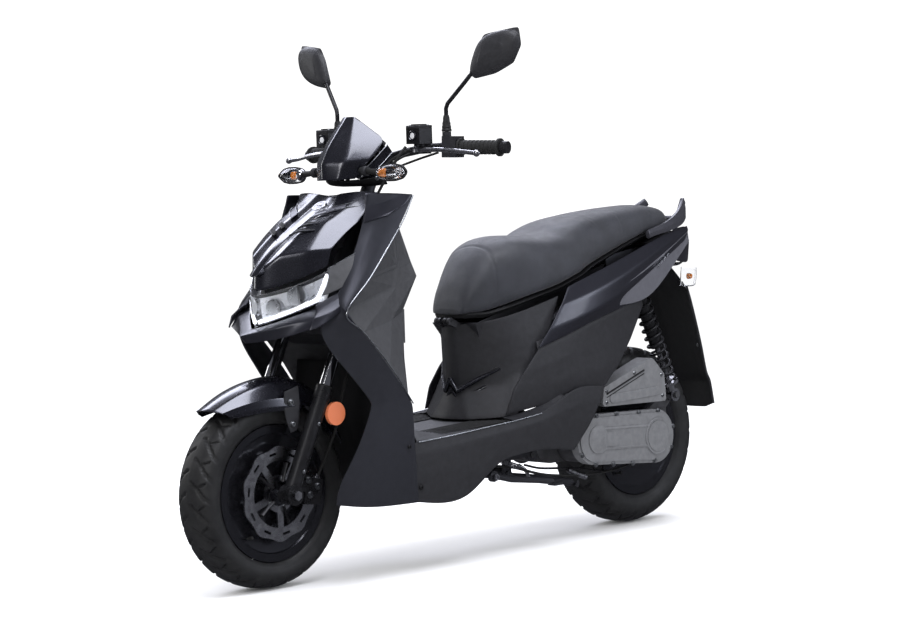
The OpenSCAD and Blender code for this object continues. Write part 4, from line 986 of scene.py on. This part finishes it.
TAIL = whole([
    [(0, 930, 706), (40, 922, 708), (72, 884, 716)],
    [(0, 940, 752), (42, 930, 754), (76, 886, 760)],
    [(0, 926, 790), (40, 916, 790), (74, 882, 792)],
])
GUARD = whole([
    [(0, 840, 700), (40, 836, 700), (62, 826, 700)],
    [(0, 900, 640), (42, 896, 640), (74, 884, 640)],
    [(0, 916, 586), (44, 910, 586), (82, 896, 584)],
    [(0, 950, 480), (44, 944, 480), (80, 932, 478)],
    [(0, 974, 396), (44, 968, 396), (76, 958, 396)],
    [(0, 998, 366), (44, 990, 366), (78, 972, 364)],
    [(0, 998, 288), (44, 994, 290), (78, 986, 302)],
])


def tail():
    skin("tail_shell", "frame", TAIL, RED_LENS, (0, 1, 0), 5, 3, [(1, 0.4)], [(1, 0.6), (3, 0.6)],
         node="tail_light", slot="tail_red", bevel=1)
    skin_pair("tail_flank", "frame", [
        [(100, 800, 799), (87, 868, 808), (77, 890, 798)],
        [(110, 800, 752), (94, 862, 762), (79, 894, 760)],
        [(104, 810, 712), (88, 872, 702), (75, 892, 712)]],
        SATIN, thickness=3, sharp_rows=[(1, 0.5)], slot="satin_black")
    housing = whole([
        [(0, 921, 700), (42, 913, 702), (76, 872, 710)],
        [(0, 905, 690), (42, 897, 692), (74, 850, 700)],
        [(0, 850, 696), (40, 846, 696), (66, 834, 700)],
    ])
    skin("tail_underside", "frame", housing, MATT, (0, 0, -1), 3, 3, slot="matt_black")
    skin("tail_deck", "frame", whole([
        [(0, 926, 791), (40, 914, 791), (72, 882, 793), (84, 872, 800)],
        [(0, 830, 797), (50, 830, 797), (84, 826, 797), (97, 816, 799)],
        [(0, 690, 768), (60, 690, 768), (96, 690, 766), (116, 690, 770)]]), DARK, (0, 0, 1), 3, 3,
        slot="matt_black")
    for side, tag in SIDES:
        lamp = [[flipped(p, side) for p in row] for row in (
            [(86, 850, 694), (97, 880, 692), (92, 910, 688), (80, 922, 688)],
            [(86, 846, 668), (97, 880, 664), (92, 912, 664), (80, 924, 666)],
            [(84, 848, 640), (94, 884, 636), (88, 908, 640), (78, 914, 644)])]
        skin("rear_lamp" + tag, "frame", lamp, LAMP_CLEAR, (side, 0.3, 0), 5, 3, slot="lamp_clear")
        fasteners("rear_bulb" + tag, "frame", [lathe((side * 84, 884, 666), (side, 0.2, 0), [
            (8, -6), (8, 0), (6.5, 5), (1, 7)], 24)], AMBER)
    skin("mudguard_shell", "frame", GUARD, DARK, (0, 1, 0.2), 4, 3, [(2, 0.6), (5, 0.9)],
         [(1, 0.7), (3, 0.7)], node="rear_mudguard", slot="matt_black")
    for side, tag in SIDES:
        rim = spline([flipped(row[-1], side) for row in GUARD[1:]], 6)
        tubes("mudguard_edge" + tag, "frame", [[p + Vector((0, -1.5, 0)) for p in rim]], 3.4, MATT, 10)
    fasteners("mudguard_screws", "frame", [screw((side * 66, 936, 470), (side * 0.5, 1, 0.2))
                                           for side in (LEFT, RIGHT)], None)


def grab_rail():
    skin_pair("grab_wing", "frame", [
        [(124, 668, 801), (119, 724, 812), (109, 792, 832), (94, 846, 858), (73, 884, 884)],
        [(126, 669, 792), (121, 726, 802), (111, 796, 816), (96, 852, 836), (75, 888, 856)],
        [(123, 672, 782), (118, 728, 790), (108, 800, 800), (92, 856, 812), (73, 890, 828)]],
        RAIL, thickness=8, sharp_rows=[(1, 0.7)], slot="cast_black", bevel=2)
    frame["nodes"]["grab_rail"].data.materials[0] = RAIL
    screws = [bolt((side * rack_x, rack_y, 826), (0, 0, 1), 5, 4)
              for side in (LEFT, RIGHT) for rack_x, rack_y in ((44, 868),)]
    fasteners("rack_screws", "frame", screws, ZINC)


# ---------- bars, visor and mirrors ----------

VISOR = whole([
    [(0, -402, 964), (38, -386, 964), (60, -350, 966)],
    [(0, -404, 1004), (50, -374, 1006), (84, -322, 1010)],
    [(0, -380, 1046), (46, -350, 1048), (94, -270, 1058)],
    [(0, -346, 1084), (34, -328, 1084), (66, -282, 1078)],
    [(0, -316, 1118), (20, -308, 1118), (28, -300, 1110)],
])
HEAD_OUTLINE = [(-5, 7), (12, -6), (72, 4), (124, 27), (147, 69), (141, 114), (41, 101), (18, 68)]
MIRROR_TIP = (255, -143, 1205)
HEAD_TURN = math.radians(11.6)


def visor():
    skin("visor_shell", "steering", VISOR, GLOSS, (0, -1, 0.5), 3, 3, [(1, 0.8), (3, 0.7)],
         [(1, 0.7), (3, 0.7), (2, 0.5)], node="visor", slot="gloss_black")
    skin("visor_cap", "steering", whole([
        [(0, -300, 1098), (30, -296, 1092), (54, -282, 1074)],
        [(0, -256, 1072), (34, -254, 1068), (62, -252, 1056)],
        [(0, -236, 1040), (36, -236, 1038), (64, -240, 1030)],
        [(0, -240, 1000), (36, -240, 1000), (60, -250, 1000)]]), MATT, (0, 1, 0.6), 3, 3,
        slot="matt_black")
    skin("dash_face", "steering", whole([
        [(0, -292, 1092), (30, -290, 1088), (44, -286, 1082)],
        [(0, -262, 1077), (30, -260, 1075), (46, -258, 1069)]]), GLOSS, (0, 0.6, 1), 2, 3,
        slot="gloss_black", bevel=0.3)


def mirror_ring(k, depth):
    return [(68 + k * (u - 68), depth, 54 + k * (w - 54)) for u, w in HEAD_OUTLINE]


def mirror_point(p, side):
    """From the mirror head's own frame at its stem to the scooter's frame."""
    u, v, w = p
    x = MIRROR_TIP[0] + u * math.cos(HEAD_TURN) - v * math.sin(HEAD_TURN)
    y = MIRROR_TIP[1] + u * math.sin(HEAD_TURN) + v * math.cos(HEAD_TURN)
    return (side * x, y, MIRROR_TIP[2] + w)


def mirrors():
    rings = [mirror_ring(0.95, 10), mirror_ring(1.0, 9), mirror_ring(1.0, 3), mirror_ring(0.93, -5),
             mirror_ring(0.74, -11), mirror_ring(0.45, -14.5)]
    for side, tag in ((LEFT, "left"), (RIGHT, "right")):
        n = len(HEAD_OUTLINE)
        vertices = [mirror_point(p, side) for ring in rings for p in ring]
        faces = [(i * n + j, i * n + (j + 1) % n, (i + 1) * n + (j + 1) % n, (i + 1) * n + j)
                 for i in range(len(rings) - 1) for j in range(n)]
        faces.append(tuple(reversed(range(n))))
        top = len(vertices)
        ridge = [mirror_point(p, side) for p in ((30, -16, 30), (112, -16, 84))]
        vertices += ridge
        last = (len(rings) - 1) * n
        order = [last + j for j in range(n)]
        for j in range(n):
            owner = top if j in (0, 1, 7, 6) else top + 1
            following = top if (j + 1) % n in (0, 1, 7, 6) else top + 1
            a, b = order[j], order[(j + 1) % n]
            faces.append((a, b, following) if owner == following else (a, b, following, owner))
        mesh = mesh_from("mirror_shell_" + tag, [(vertices, faces)], 60)
        crease = mesh.attributes.new("crease_edge", "FLOAT", "EDGE")
        for edge in mesh.edges:
            if set(edge.vertices) == {top, top + 1}:
                crease.data[edge.index].value = 1.0
            elif all(v < 2 * n for v in edge.vertices):
                crease.data[edge.index].value = 0.5
        piece = add_piece("mirror_shell_" + tag, mesh, "mirror_" + tag, MATT, "mirror_head_" + tag)
        rounding = piece.modifiers.new("smooth", "SUBSURF")
        rounding.levels = rounding.render_levels = 3
        glass_rings = [mirror_ring(0.9, 9.4), mirror_ring(0.9, 11.4), mirror_ring(0.87, 12.2)]
        vertices = [mirror_point(p, side) for ring in glass_rings for p in ring]
        faces = [(i * n + j, i * n + (j + 1) % n, (i + 1) * n + (j + 1) % n, (i + 1) * n + j)
                 for i in range(2) for j in range(n)]
        faces.append(tuple(range(2 * n, 3 * n)))
        faces.append(tuple(reversed(range(n))))
        glass_mesh = mesh_from("mirror_glass_" + tag, [(vertices, faces)], 30)
        add_piece("mirror_glass_" + tag, glass_mesh, "mirror_" + tag, MIRROR_GLASS, None)
        boot = []
        base = (side * 196, -166, 1074)
        boot.append(lathe(base, (0, 0, 1), [(12, 1), (12.6, 4), (11, 8), (11.6, 12), (10, 16),
                                            (10.4, 20), (8.6, 26), (8.2, 34), (6.4, 40)], 28))
        fasteners("mirror_boot_" + tag, "mirror_arm_" + tag, boot, RUBBER)


def indicators():
    for side, tag in SIDES:
        stations = [(138, 8), (148, 16), (166, 18.5), (190, 18.5), (210, 14.5), (223, 6)]
        shapes = []
        vertices, faces = [], []
        sides = 24
        for x, r in stations:
            for s in range(sides):
                turn = 2 * math.pi * s / sides
                square = 1 + 0.08 * math.cos(4 * turn)
                vertices.append((side * x, -344 + 1.1 * r * square * math.cos(turn),
                                 979 + 0.95 * r * square * math.sin(turn)))
        for i in range(len(stations) - 1):
            for s in range(sides):
                t = (s + 1) % sides
                faces.append((i * sides + s, i * sides + t, (i + 1) * sides + t, (i + 1) * sides + s))
        faces.append(tuple(reversed(range(sides))))
        faces.append(tuple((len(stations) - 1) * sides + s for s in range(sides)))
        shapes.append((vertices, faces))
        lens = add_piece("indicator_lens" + tag, mesh_from("indicator_lens" + tag, shapes, 60),
                         "steering", LAMP_CLEAR, "front_indicators")
        rounding = lens.modifiers.new("smooth", "SUBSURF")
        rounding.levels = rounding.render_levels = 2
        bulb = lathe((side * 158, -346, 979), (side, 0, 0), [(3, -8), (5, 0), (5.4, 7), (3.6, 12),
                                                            (0.6, 14)], 24)
        fasteners("indicator_bulb" + tag, "steering", [bulb], AMBER)
        vertices, faces = [], []
        half = 12
        for x, r in stations:
            for s in range(half + 1):
                turn = math.pi * (s / half - 0.5)
                for grow in (1.0, 4.0):
                    vertices.append((side * (x + 1), -341 + (1.1 * r + grow) * math.cos(turn),
                                     979 + (0.95 * r + grow) * math.sin(turn)))
        wide = 2 * (half + 1)
        for i in range(len(stations) - 1):
            for s in range(half):
                a, b = i * wide + 2 * s, (i + 1) * wide + 2 * s
                faces += [(a + 1, b + 1, b + 3, a + 3), (a, a + 2, b + 2, b)]
            a, b = i * wide, (i + 1) * wide
            faces += [(a, b, b + 1, a + 1), (a + wide - 2, a + wide - 1, b + wide - 1, b + wide - 2)]
        for a in (0, (len(stations) - 1) * wide):
            faces += [(a + 2 * s, a + 2 * s + 1, a + 2 * s + 3, a + 2 * s + 2) for s in range(half)]
        add_piece("indicator_case" + tag, mesh_from("indicator_case", [(vertices, faces)], 50),
                  "steering", MATT, None)
        back = lathe((side * 140, -343, 980), (side, 0, 0), [(6, -8), (13, 0), (15, 6), (10, 9)], 24)
        fasteners("indicator_bowl" + tag, "steering", [back], CHROME)
        stalk = tube_mesh([(side * 74, -340, 985), (side * 104, -343, 983), (side * 142, -344, 980)], 8,
                          14, [10, 7, 8.5])
        add_piece("indicator_stalk" + tag, mesh_from("indicator_stalk" + tag, [stalk]), "steering",
                  RUBBER, None)


# ---------- hoses, cables and small hardware ----------

HOSE = [(150, -262, 1040), (138, -282, 1010), (112, -300, 960), (84, -318, 900), (66, -344, 830),
        (62, -372, 760), (66, -380, 690), (76, -380, 620), (90, -388, 560), (94, -428, 500),
        (96, -452, 440), (94, -468, 380), (86, -488, 326), (70, -512, 262)]
CABLE = [(100, 40, 226), (112, 120, 214), (122, 220, 186), (124, 320, 172), (118, 420, 164),
         (102, 520, 164), (84, 600, 168), (72, 640, 178)]


LINE_RADIUS = 3.6


def hoses():
    # The brake hose is baked in place and rides on no body; the rear cable stays on the frame.
    shape = tube_mesh(spline(HOSE, 5), LINE_RADIUS, 12)
    hose = new_piece("brake_hose", mesh_from("brake_hose", [shape]), RUBBER)
    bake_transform(hose)
    tubes("rear_cable", "frame", [spline(CABLE, 5)], LINE_RADIUS, RUBBER, 12, node="brake_lines")


SHOCK_TOP = Vector((103, 634, 655))
SHOCK_AXIS = Vector((0, 0.416453, -0.909157))
SPRING_START, SPRING_END = 34.5, 292.5
SPRING_COILS = 11
SPRING_RADIUS = 23
SPRING_WIRE = 3.8


def shock_coil():
    """Coil spring round the shock, fixed to its upper part."""
    side = SHOCK_AXIS.cross(Vector((1, 0, 0)))
    steps = 18 * SPRING_COILS
    path = []
    for k in range(steps + 1):
        turn = 2 * math.pi * SPRING_COILS * k / steps
        along = SPRING_START + (SPRING_END - SPRING_START) * k / steps
        path.append(SHOCK_TOP + SHOCK_AXIS * along + Vector((SPRING_RADIUS * math.cos(turn), 0, 0))
                    + side * (SPRING_RADIUS * math.sin(turn)))
    coil = tubes("spring_coil", "shock_upper", [path], SPRING_WIRE, CAST_BLACK, 12, node="shock_spring")
    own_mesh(coil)


def steering_details():
    # Dark fairing under the visor, with its brackets, clamps and the wiring behind the bars.
    skin("steer_fairing", "steering", whole([
        [(0, -372, 962), (44, -356, 962), (74, -322, 964), (84, -268, 972)],
        [(0, -366, 950), (42, -348, 950), (68, -316, 950), (80, -262, 954)],
        [(0, -300, 947), (40, -296, 947), (60, -280, 947), (70, -250, 950)]]), DARK, (0, -1, -0.4), 3, 3,
        slot="matt_black")
    skin_pair("visor_wing", "steering", [
        [(58, -350, 970), (80, -318, 1000), (94, -268, 1046)],
        [(60, -340, 966), (84, -300, 990), (90, -250, 1030)],
        [(56, -322, 962), (78, -284, 976), (82, -240, 1004)]],
        GLOSS, thickness=3, sharp_rows=[(1, 0.7)], slot="gloss_black")
    for side, tag in SIDES:
        def route(*points):
            return spline([flipped(p, side) for p in points], 5)
        trims = [route((57, -352, 970), (82, -318, 1002), (96, -268, 1050)),
                 route((60, -341, 965), (85, -300, 989), (91, -250, 1029))]
        tubes("visor_lines" + tag, "steering", trims, 0.9, SILVER_TRIM, 8)
        wires = [route((28, -262, 1040), (60, -276, 1000), (52, -290, 968), (30, -286, 950)),
                 route((150, -214, 1040), (116, -250, 1022), (84, -276, 992), (50, -280, 952)),
                 route((176, -176, 1024), (130, -214, 1006), (92, -248, 986), (60, -262, 956)),
                 route((120, -196, 1030), (96, -232, 1012), (70, -262, 984), (44, -268, 954))]
        tubes("bar_wires" + tag, "steering", wires, 3.0, RUBBER, 10)
        clamps = [bolt((side * 34, -262, 1024), (0, -0.6, 0.8), 6, 8),
                  hex_nut((side * 60, -330, 975), (side * 0.6, -0.8, 0), 8, 5),
                  hex_nut((side * 84, -300, 966), (side, -0.3, 0), 6, 4)]
        fasteners("bar_clamps" + tag, "steering", clamps)
        ring = lathe((side * 88, -343, 984), (side, 0, 0), [(11, -3), (12.5, 0), (12.5, 8), (11, 10)], 32)
        fasteners("stalk_ring" + tag, "steering", [ring], MATT)
        # Fluid reservoir: lid, its screws and a round sight glass.
        lid = stadium_lid(side)
        fasteners("reservoir_lid" + tag, "steering", [lid], MATT)
        neck = lathe(flipped((163, -228, 1040), side), (0, 0, 1), [
            (1, 0), (14, 0), (12, 16), (13, 48), (1, 48)], 32)
        fasteners("reservoir_neck" + tag, "steering", [neck], CAST_BLACK)
        tops = [screw((side * x, y, 1090), (0, 0, 1), 4) for x, y in ((148, -242), (178, -214))]
        fasteners("reservoir_screws" + tag, "steering", tops, ZINC)
        glass = lathe((side * 163, -249.5, 1066), (0, -1, 0), [(13, 0), (13, 3), (11, 4), (10, 2.4)], 36)
        fasteners("reservoir_glass" + tag, "steering", [glass], GLOSS)
        # The window's face uses the reflector material too, so its brightness is a painted reflection.
        face = lathe((side * 163, -249.5, 1066), (0, -1, 0), [(9.4, 0), (9.4, 2.2), (1, 3)], 32)
        fasteners("reservoir_window" + tag, "steering", [face], PAINTED_REFLECTION_CHROME)


def stadium_lid(side):
    """Lid plate with rounded corners on a fluid reservoir."""
    vertices, faces = [], []
    corners = ((182, -210), (144, -210), (144, -246), (182, -246))
    for z, grow in ((1084, 5), (1089, 6), (1091, 4.5)):
        for k, (x, y) in enumerate(corners):
            for step in range(6):
                turn = math.pi / 2 * (k + step / 5)
                vertices.append((side * (x + grow * math.cos(turn)), y + grow * math.sin(turn), z))
    n = 24
    for i in range(2):
        for k in range(n):
            t = (k + 1) % n
            faces.append((i * n + k, i * n + t, (i + 1) * n + t, (i + 1) * n + k))
    faces.append(tuple(reversed(range(n))))
    faces.append(tuple(2 * n + k for k in range(n)))
    return vertices, faces


def dress_hardware():
    fork = []
    for side in (LEFT, RIGHT):
        for up in (300, 420):
            fork.append(hex_nut(on_fork(side * 121, -28, up), (side, 0, 0), 5, 3))
    fasteners("fork_clips", "fork_lower", fork, ZINC)
    seals = [lathe(on_fork(side * 102, -28.5, 510), (0, math.sin(RAKE), math.cos(RAKE)),
                   [(20.6, 0), (21.4, 1), (20.4, 5), (16.2, 6.5)], 32) for side in (LEFT, RIGHT)]
    fasteners("fork_seals", "fork_lower", seals, RUBBER)
    caliper = []
    centre = Vector(FRONT_AXLE)
    for y, z in ((78, 26), (106, 8), (82, -10)):
        caliper.append(bolt(centre + Vector((80, y, z)), (1, 0, 0), 7, 5))
    fasteners("caliper_bolts", "fork_lower", caliper)
    banjo = [lathe((64, -512, 256), (0.1, 0.3, 1), [(6, -4), (8, -3), (8, 2), (5.5, 3), (5.5, 8), (2, 9)],
                   24)]
    fasteners("banjo_bolt", "fork_lower", banjo, ALLOY)
    body = []
    for side in (LEFT, RIGHT):
        body.append(screw((side * 191, -286, 214), (side, 0, 0)))
        body.append(screw((side * 200, -330, 318), (side, 0, 0), 4.5))
    fasteners("panel_screws", "frame", body, DARK)
    # Return spring of the side stand, its bracket bolt, and the alloy stay under the floor.
    coil = []
    start, end = Vector((132, 58, 238)), Vector((132, 122, 217))
    along = (end - start).normalized()
    across = along.cross(Vector((1, 0, 0))).normalized()
    for k in range(12 * 12 + 1):
        turn = 2 * math.pi * k / 12
        coil.append(start + (end - start) * (k / 144) + across * (5 * math.sin(turn))
                    + Vector((5 * math.cos(turn), 0, 0)))
    hooks = [tube_mesh([start - along * 14, start], 1.6, 8), tube_mesh([end, end + along * 14], 1.6, 8)]
    add_piece("stand_spring", mesh_from("stand_spring", [tube_mesh(coil, 1.4, 6), *hooks]), "frame",
              ALLOY, None)
    fasteners("stand_bolt", "frame", [hex_nut((158, 8, 204), (1, 0, 0), 9, 7)], ALLOY)
    stays = [tube_mesh(spline([(104, 150, 216), (108, 172, 200), (110, 184, 176)], 4), 5, 10),
             tube_mesh([(118, 322, 186), (120, 352, 172), (122, 388, 160)], 6.5, 14)]
    add_piece("floor_stays", mesh_from("floor_stays", stays), "frame", ALLOY, None)
    rods = [tube_mesh(spline([(100, 176, 214), (108, 230, 200), (112, 330, 190), (104, 420, 176),
                              (100, 494, 163)], 5), 3.2, 10)]
    add_piece("brake_rod", mesh_from("brake_rod", rods), "frame", CAST_BLACK, None)


def stadium(a, b, radius, profile, segments=24):
    """Plate shaped like two joined half circles: profile is (x, how far its edge is drawn in)."""
    a, b = Vector((0, *a)), Vector((0, *b))
    turn = math.atan2(b.z - a.z, b.y - a.y)
    vertices, faces = [], []
    for x, inset in profile:
        for k in range(2 * segments):
            first = k < segments
            angle = turn + math.pi * ((k if first else k - segments) / (segments - 1) + 0.5)
            angle += 0 if first else math.pi
            centre = a if first else b
            r = radius - inset
            vertices.append((x, centre.y + r * math.cos(angle), centre.z + r * math.sin(angle)))
    n = 2 * segments
    for i in range(len(profile) - 1):
        for k in range(n):
            t = (k + 1) % n
            faces.append((i * n + k, i * n + t, (i + 1) * n + t, (i + 1) * n + k))
    faces.append(tuple(reversed(range(n))))
    faces.append(tuple((len(profile) - 1) * n + k for k in range(n)))
    return vertices, faces


def engine_details():
    cover = []
    for y, z in ((328, 300), (330, 226), (382, 196), (452, 190), (530, 184), (620, 184), (690, 214),
                 (700, 268), (640, 316), (560, 318), (470, 322), (390, 324)):
        cover.append(bolt((163.5, y, z), (1, 0, 0), 5, 4.5))
    fasteners("cover_bolts", "swing_unit", cover)
    # Long raised plate, the rear boss and the kick-start boss.
    plate = stadium((392, 262), (602, 253), 30, [(162, 0), (167.4, 0), (168.4, 1.2), (168.4, 5.5),
                                                 (166.8, 7)])
    rim = lathe((164, 632, 248), (1, 0, 0), [(50, 0), (50, 4), (48.5, 5.6), (44, 5.6), (42, 4), (26, 4),
                                             (24, 5.8), (8, 5.8), (7, 4.6), (1, 4.6)], 72)
    hub = lathe((164, 392, 262), (1, 0, 0), [(38, 0), (38, 4), (36.5, 5.4), (30, 5.6), (28, 6.4),
                                             (1, 6.6)], 72)
    add_piece("cover_plates", mesh_from("cover_plates", [plate, rim, hub]), "swing_unit", CASE_GREY,
              None)
    lid = []
    for y, z in ((446, 384), (446, 354), (674, 354), (672, 410), (560, 424)):
        lid.append(screw((152, y, z), (1, 0, 0), 5))
    fasteners("air_box_screws", "swing_unit", lid, ZINC)
    lines = [tube_mesh([(152, 446, 376), (152.4, 600, 428)], 2.4, 8),
             tube_mesh([(152, 446, 367), (152.4, 600, 419)], 1.2, 8)]
    add_piece("air_box_lines", mesh_from("air_box_lines", lines), "swing_unit", DARK, None)
    lid_face = stadium((470, 362), (650, 368), 12, [(151.8, 0), (153.6, 0), (154.4, 1), (154.4, 3)])
    add_piece("air_box_plate", mesh_from("air_box_plate", [lid_face]), "swing_unit", CASE_GREY, None)


# ---------- stage ----------

def area_light(name, place, target, size, power, color=(1, 1, 1)):
    data = bpy.data.lights.new(name, "AREA")
    data.shape = "RECTANGLE"
    data.size, data.size_y = size
    data.energy = power
    data.color = color
    lamp = bpy.data.objects.new(name, data)
    bpy.context.scene.collection.objects.link(lamp)
    lamp.location = place
    lamp.rotation_euler = (Vector(target) - Vector(place)).to_track_quat("-Z", "Y").to_euler()
    return lamp


def studio():
    world = bpy.data.worlds.new("studio")
    bpy.context.scene.world = world
    world.use_nodes = True
    nodes, links = world.node_tree.nodes, world.node_tree.links
    # Bright all round for the paper floor, and dim where glossy panels mirror it.
    background = nodes["Background"]
    background.inputs["Color"].default_value = (1, 1, 1, 1)
    background.inputs["Strength"].default_value = 1.2
    dim = nodes.new("ShaderNodeBackground")
    dim.inputs["Color"].default_value = (0.85, 0.87, 1.0, 1)
    dim.inputs["Strength"].default_value = 0.1
    mix = nodes.new("ShaderNodeMixShader")
    path = nodes.new("ShaderNodeLightPath")
    links.new(path.outputs["Is Glossy Ray"], mix.inputs["Fac"])
    links.new(background.outputs["Background"], mix.inputs[1])
    links.new(dim.outputs["Background"], mix.inputs[2])
    links.new(mix.outputs["Shader"], nodes["World Output"].inputs["Surface"])
    bpy.context.scene.view_settings.view_transform = "Standard"
    material, nodes, links, shader = node_material("floor_paper", (0.9, 0.9, 0.91), 1.0)
    shader.inputs["Specular IOR Level"].default_value = 0.0
    grain = noise(nodes, links, 40, 3)
    links.new(two_tone(nodes, links, grain, (0.87, 0.87, 0.875), (0.88, 0.88, 0.885)),
              shader.inputs["Base Color"])
    mesh = bpy.data.meshes.new("floor")
    reach = 30
    mesh.from_pydata([(-reach, -reach, 0), (reach, -reach, 0), (reach, reach, 0), (-reach, reach, 0)],
                     [], [(0, 1, 2, 3)])
    floor = bpy.data.objects.new("floor", mesh)
    bpy.context.scene.collection.objects.link(floor)
    floor.location.z = -0.001
    mesh.materials.append(material)
    floor.visible_glossy = False
    area_light("back_top", (-2.6, 1.2, 3.0), (0, -0.1, 0.7), (3.6, 1.2), 75, (0.84, 0.86, 1.0))
    area_light("overhead", (0.9, -0.4, 3.6), (0, -0.1, 0.6), (1.8, 2.6), 110, (0.9, 0.92, 1.0))
    area_light("front_left", (1.4, -4.4, 2.4), (0, -0.2, 0.6), (0.8, 1.8), 30)
    area_light("rear_left", (4.4, 3.4, 2.4), (0, 0.3, 0.6), (0.7, 2.6), 60, (0.86, 0.9, 1.0))
    area_light("right", (-4.0, -1.5, 2.0), (0, 0, 0.6), (0.8, 2.6), 30)


def camera():
    """Looks at the scooter's front left side from a little above the seat."""
    yaw, pitch, roll = math.radians(-44.961), math.radians(-3.235), math.radians(-1.817)
    forward = Vector((math.sin(yaw) * math.cos(pitch), math.cos(yaw) * math.cos(pitch),
                      math.sin(pitch)))
    right = forward.cross(Vector((0, 0, 1))).normalized()
    up = right.cross(forward)
    turned_right = right * math.cos(roll) + up * math.sin(roll)
    turned_up = up * math.cos(roll) - right * math.sin(roll)
    data = bpy.data.cameras.new("camera")
    data.sensor_width = 36
    data.lens = 98.03
    viewer = bpy.data.objects.new("camera", data)
    bpy.context.scene.collection.objects.link(viewer)
    basis = Matrix((turned_right, turned_up, -forward)).transposed().to_4x4()
    viewer.matrix_world = Matrix.Translation((4.427, -4.4805, 0.972)) @ basis
    bpy.context.scene.camera = viewer


camera()
studio()
dress_cad_nodes()
front_cowl()
headlight()
beak()
leg_shields()
front_fender()
wheels()
floor_and_covers()
side_panels()
seat_cushion()
tail()
grab_rail()
visor()
mirrors()
indicators()
hoses()
shock_coil()
steering_details()
dress_hardware()
engine_details()
